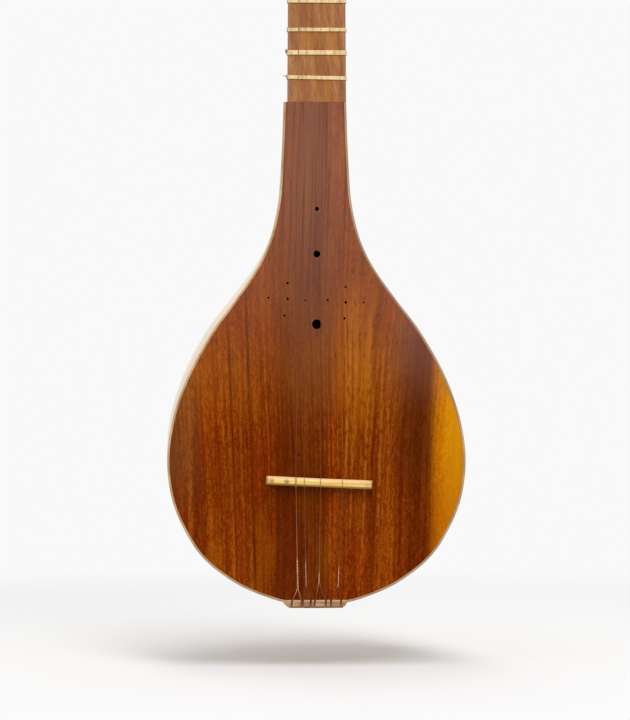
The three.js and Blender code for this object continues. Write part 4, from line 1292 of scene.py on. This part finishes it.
def wire_tree():
    """Wire along a line. Each point says how finely the next stretch is drawn, how far the wire
    lies off the line and at what angle round it."""
    tree, given = new_tree("drawn_wire", {
        "Thickness": "Float", "Sides": "Int", "Metal": "Material",
    })
    line = made(tree, "MeshToCurve", {"Mesh": given["Geometry"]})
    fine = made(tree, "SubdivideCurve", {"Curve": line, "Cuts": noted(tree, "cuts")})
    lay, wind = noted(tree, "lay"), noted(tree, "wind")
    off = combined(lay * calc("COSINE", wind), lay * calc("SINE", wind), 0.0)
    laid = made(tree, "SetPosition", {"Geometry": fine, "Offset": off})
    return ended(tree, swept(laid, round_section(given)), given["Metal"])


def wire_metal(name, dull, bright):
    """Drawn wire with fine die marks: bright with a painted highlight where it is twisted,
    tarnished above, paler with painted light at the throat and where it crosses the bridge, and
    paler again over the neck, partly rubbed and partly painted light."""
    material = new_finish(name, 0.35, metal=0.45, specular=0.2)
    place = place_on(material)
    height = split(place)[2]
    patches = mottle(place, 900, 140, detail=3.0, seed=1.9)
    tarnish_wear_and_painted_light = stained(
        dull,
        (fade(height, 60 * mm, 80 * mm), (134, 82, 40)),
        # Paler at the throat: painted light against the thin wire's own shade
        (fade(height, 150 * mm, 190 * mm), (158, 106, 84)),
        # Paler again over the neck: partly rubbed by the fingers, partly painted light
        (fade(height, 255 * mm, 280 * mm), (164, 114, 76)),
        # Paler where it crosses the bridge: painted light against the shade of its notch
        (fade(calc("ABSOLUTE", height - bridge_z), 1.9 * mm, 2.6 * mm, 0.85, 0.0), (196, 156, 104)),
    )
    # A painted highlight on the twist and the loop's legs, as much as each point's shine
    painted_glint = kept(material, "shine") * ramp(patches, (0.3, 0.65), (0.55, 1.0))
    return painted(material, blend(painted_glint, tarnish_wear_and_painted_light, bright), patches, 0.01 * mm, 0.5)


bronze = wire_metal("bronze_wire", (128, 74, 36), (240, 188, 138))
steel = wire_metal("steel_wire", (126, 78, 46), (236, 198, 164))
drawn_wire = wire_tree()
for name, gauge in string_gauges.items():
    slots, loop_share, twist_share, period, spread, peg_side, aside, leg_shine = string_ends[name]
    radius = gauge / 2
    front = board_front - edge_clearance - radius
    low = slot_recess - slot_clearance - radius
    over_bridge = string_on_bridge(name)
    # The loop's two legs, each close to its own side of the tooth, at the bar's top and below
    tops, lows = [], []
    for slot, inwards in zip(slots, (1, -1)):
        share, width, lean = tail_slots[slot]
        x = share * tail_half_width + inwards * (width * mm / 2 - radius - slot_clearance)
        tops.append(Vector((x, front, tail_bar_height)))
        fall = (tail_bar_height - low) * tan(radians(lean))
        lows.append(Vector((x - fall, front, low)))

    def off_board(z, x):
        share = (z - tail_bar_height) / (over_bridge.z - tail_bar_height)
        return Vector((x, front + share * (over_bridge.y - front), z))

    middle = (tops[0].x + tops[1].x) / 2 + aside * mm
    loop_end = off_board(loop_share * bridge_z, middle)
    twist_z = twist_share * bridge_z
    rise = (twist_z - loop_end.z) / (over_bridge.z - loop_end.z)
    twist_end = off_board(twist_z, middle + rise * (over_bridge.x - middle))
    turns = (twist_end - loop_end).length / (period * mm)
    lay = radius * spread
    # The tangent from the last bend to the winding
    face, axis, depth = peg_face(name)
    reach = peg_shaft_radius + shaft_clearance + radius
    pitch = gauge + winding_gap
    out = winding_start + radius + (winding_turns - 0.5) * pitch
    bends = [over_bridge, string_on_nut(name)]
    side_peg = peg_places[name][0] == "side"
    if side_peg:
        peg_side = -1
        edge = edge_clearance + radius
        bends.append(Vector((head_chamfer - neck_half_widths[1] - edge / 2, head_front - edge,
                             nut_z + edge_share * peg_places[name][1] * head_length)))
    away = bends[-1] - face
    away = Vector((away.y if side_peg else away.x, away.z))
    angle = atan2(away.y, away.x) + peg_side * acos(reach / away.length)
    on_shaft, up = reach * cos(angle), reach * sin(angle)
    bends.append(face + Vector((-out, on_shaft, up) if side_peg else (on_shaft, -out, up)))

    # Each point: its place, then how far the wire lies off it, at what angle, its cuts and shine
    whole = turns * 2 * pi
    steps = max(8, int(turns * cuts_per_turn))
    legs = [loop_end.lerp(top + Vector((0, 0, leg_lift)), 0.25) for top in tops]
    loop = rounded([loop_end, tops[0], *lows, tops[1], loop_end], 0.5 * mm, 5)[1:-1]
    rows = [
        (twist_end + Vector((0.25 * mm, 0, 0.3 * mm)), lay, whole + pi, 0, 0.8),
        (twist_end, lay, whole + pi, steps, 1.0),
        (loop_end, lay, pi, 4, 1.0),
        (legs[0], 0.0, pi, 2, leg_shine),
        *((place, 0.0, 0.0, 0, 0.3 * leg_shine) for place in loop),
        (legs[1], 0.0, 0.0, 2, 0.1 if name == "middle" else leg_shine),
        (loop_end, lay, 0.0, steps, 1.0),
        (twist_end, lay, whole, 4, 1.0),
        (twist_end.lerp(over_bridge, 0.06), 0.0, whole, 0, 0.5 * leg_shine),
        *((place, 0.0, 0.0, 0, 0.0) for place in bends),
    ]
    points, lays, winds, cuts, shines = zip(*rows)
    line = line_mesh(f"string_{name}", points, lay=lays, wind=winds, cuts=cuts, shine=shines)
    is_bronze = name in ("bass", "middle")
    metal, slot = (bronze, "bronze_wire") if is_bronze else (steel, "steel_wire")
    string = grown(f"twisted_string_{name}", line, drawn_wire, {
        "Thickness": gauge, "Sides": thread_sides, "Metal": metal,
    })
    settle(string, slot, f"string_{name}")

    # The last turns of the wire, close round the peg's shaft
    angles = np.linspace(0, 2 * pi, turn_steps, endpoint=False)
    round_peg = [(reach * cos(a), reach * sin(a), 0) for a in angles]
    ring = line_mesh(f"winding_{name}", round_peg, closed=True)
    winding = grown(f"wire_turns_{name}", ring, wound_thread, {
        "Turns": float(winding_turns), "Steps": turn_steps, "Pitch": pitch, "Level Share": 0.0,
        "Thickness": gauge, "Sides": thread_sides, "Finish": metal,
        "Turn": (0, -pi / 2, 0) if side_peg else (pi / 2, 0, 0),
        "Place": face + axis * (winding_start + radius + pitch * winding_turns / 2),
    })
    settle(winding, slot, f"winding_{name}", body=f"peg_{name}")


# Studio
# A pale floor that fades into a white background, one soft lamp overhead for the shadow, a large
# soft one in front, and the camera a little to the left of the setar, level with its middle.
backdrop_white = 0.9473
floor_drop = 31 * mm
floor_radius = 700 * mm
white = (1, 1, 1, 1)


def studio_floor():
    """White card that keeps the shadow, glows faintly for the camera and fades out at its edge."""
    material = bpy.data.materials.new("studio_floor")
    material.use_nodes = True
    tree = material.node_tree
    tree.nodes.clear()
    card = made(tree, "BsdfDiffuse", {"Color": (0.8, 0.8, 0.8, 1)})
    glow = made(tree, "Emission", {"Color": white, "Strength": 0.175})
    shown = made(tree, "MixShader", {
        0: made(tree, "LightPath", out="Is Camera Ray"), 1: card,
        2: made(tree, "AddShader", {0: card, 1: glow}),
    })
    out = calc("LENGTH", place_on(material))
    mixed = made(tree, "MixShader", {
        0: soft(out, floor_radius * 0.6, floor_radius * 0.98), 1: shown,
        2: made(tree, "BsdfTransparent"),
    })
    put(tree, "OutputMaterial", {0: mixed})
    return material


disc = bmesh.new()
bmesh.ops.create_circle(disc, cap_ends=True, segments=96, radius=floor_radius)
disc.transform(Matrix.Translation((0, 50 * mm, -floor_drop)))
floor_mesh = bpy.data.meshes.new("floor")
disc.to_mesh(floor_mesh)
disc.free()
floor_mesh.materials.append(studio_floor())
floor = placed("floor", floor_mesh)

scene = bpy.context.scene
world = bpy.data.worlds.new("studio")
scene.world = world
world.use_nodes = True
world.cycles.sampling_method = "NONE"
sky = world.node_tree
sky.nodes.clear()
path = put(sky, "LightPath").outputs
to_camera, glossy, through = (
    Value(sky, path[f"Is {kind} Ray"]) for kind in ("Camera", "Glossy", "Transmission")
)
seen = calc("MAXIMUM", to_camera, through)
right, behind, above = split(made(sky, "TexCoord", out="Generated"))
mirrored = glossy * fade(behind, -0.35, 0.35, 0.12, backdrop_white)
lighting = (1.0 - glossy) * fade(right, -1.0, 1.0, 0.64, 0.4)
strength = seen * backdrop_white + (1.0 - seen) * (mirrored + lighting)
backdrop = made(sky, "Background", {"Color": white, "Strength": strength})
put(sky, "OutputWorld", {0: backdrop})


def aimed(name, data, place, aim):
    """A lamp or camera at a place, pointed at another."""
    thing = placed(name, data)
    thing.location = place
    thing.rotation_euler = (Vector(aim) - Vector(place)).to_track_quat("-Z", "Y").to_euler()
    return thing


def lamp(name, place, aim, size, power):
    """A soft lamp that points at a place."""
    light = bpy.data.lights.new(name, "AREA")
    light.shape = "RECTANGLE"
    light.size, light.size_y = size
    light.energy = power
    return aimed(name, light, place, aim)


lamp("overhead_lamp", (0.13, -0.3, 1.55), (0, 0.055, 0), (0.45, 2.0), 16)
front_lamp = lamp("front_lamp", (-0.25, -1.2, 1.2), (0, 0, 0.12), (0.9, 0.9), 16)
# The front lamp lights the setar alone, so that only one shadow falls on the floor
floor_only = bpy.data.collections.new("floor_only")
floor_only.objects.link(floor)
front_lamp.light_linking.receiver_collection = floor_only
floor_only.collection_objects[0].light_linking.link_state = "EXCLUDE"

camera_turn = radians(-3)
camera_distance = 1.4
camera_target = Vector((-1.0 * mm, board_front, 132.9 * mm))
camera_data = bpy.data.cameras.new("camera")
camera_data.lens = 130.8
camera_data.sensor_width = 36
camera_data.clip_start = 0.01
camera_data.clip_end = 50
backwards = camera_distance * Vector((sin(camera_turn), -cos(camera_turn), 0))
scene.camera = aimed("camera", camera_data, camera_target + backwards, camera_target)
scene.view_settings.view_transform = "Standard"
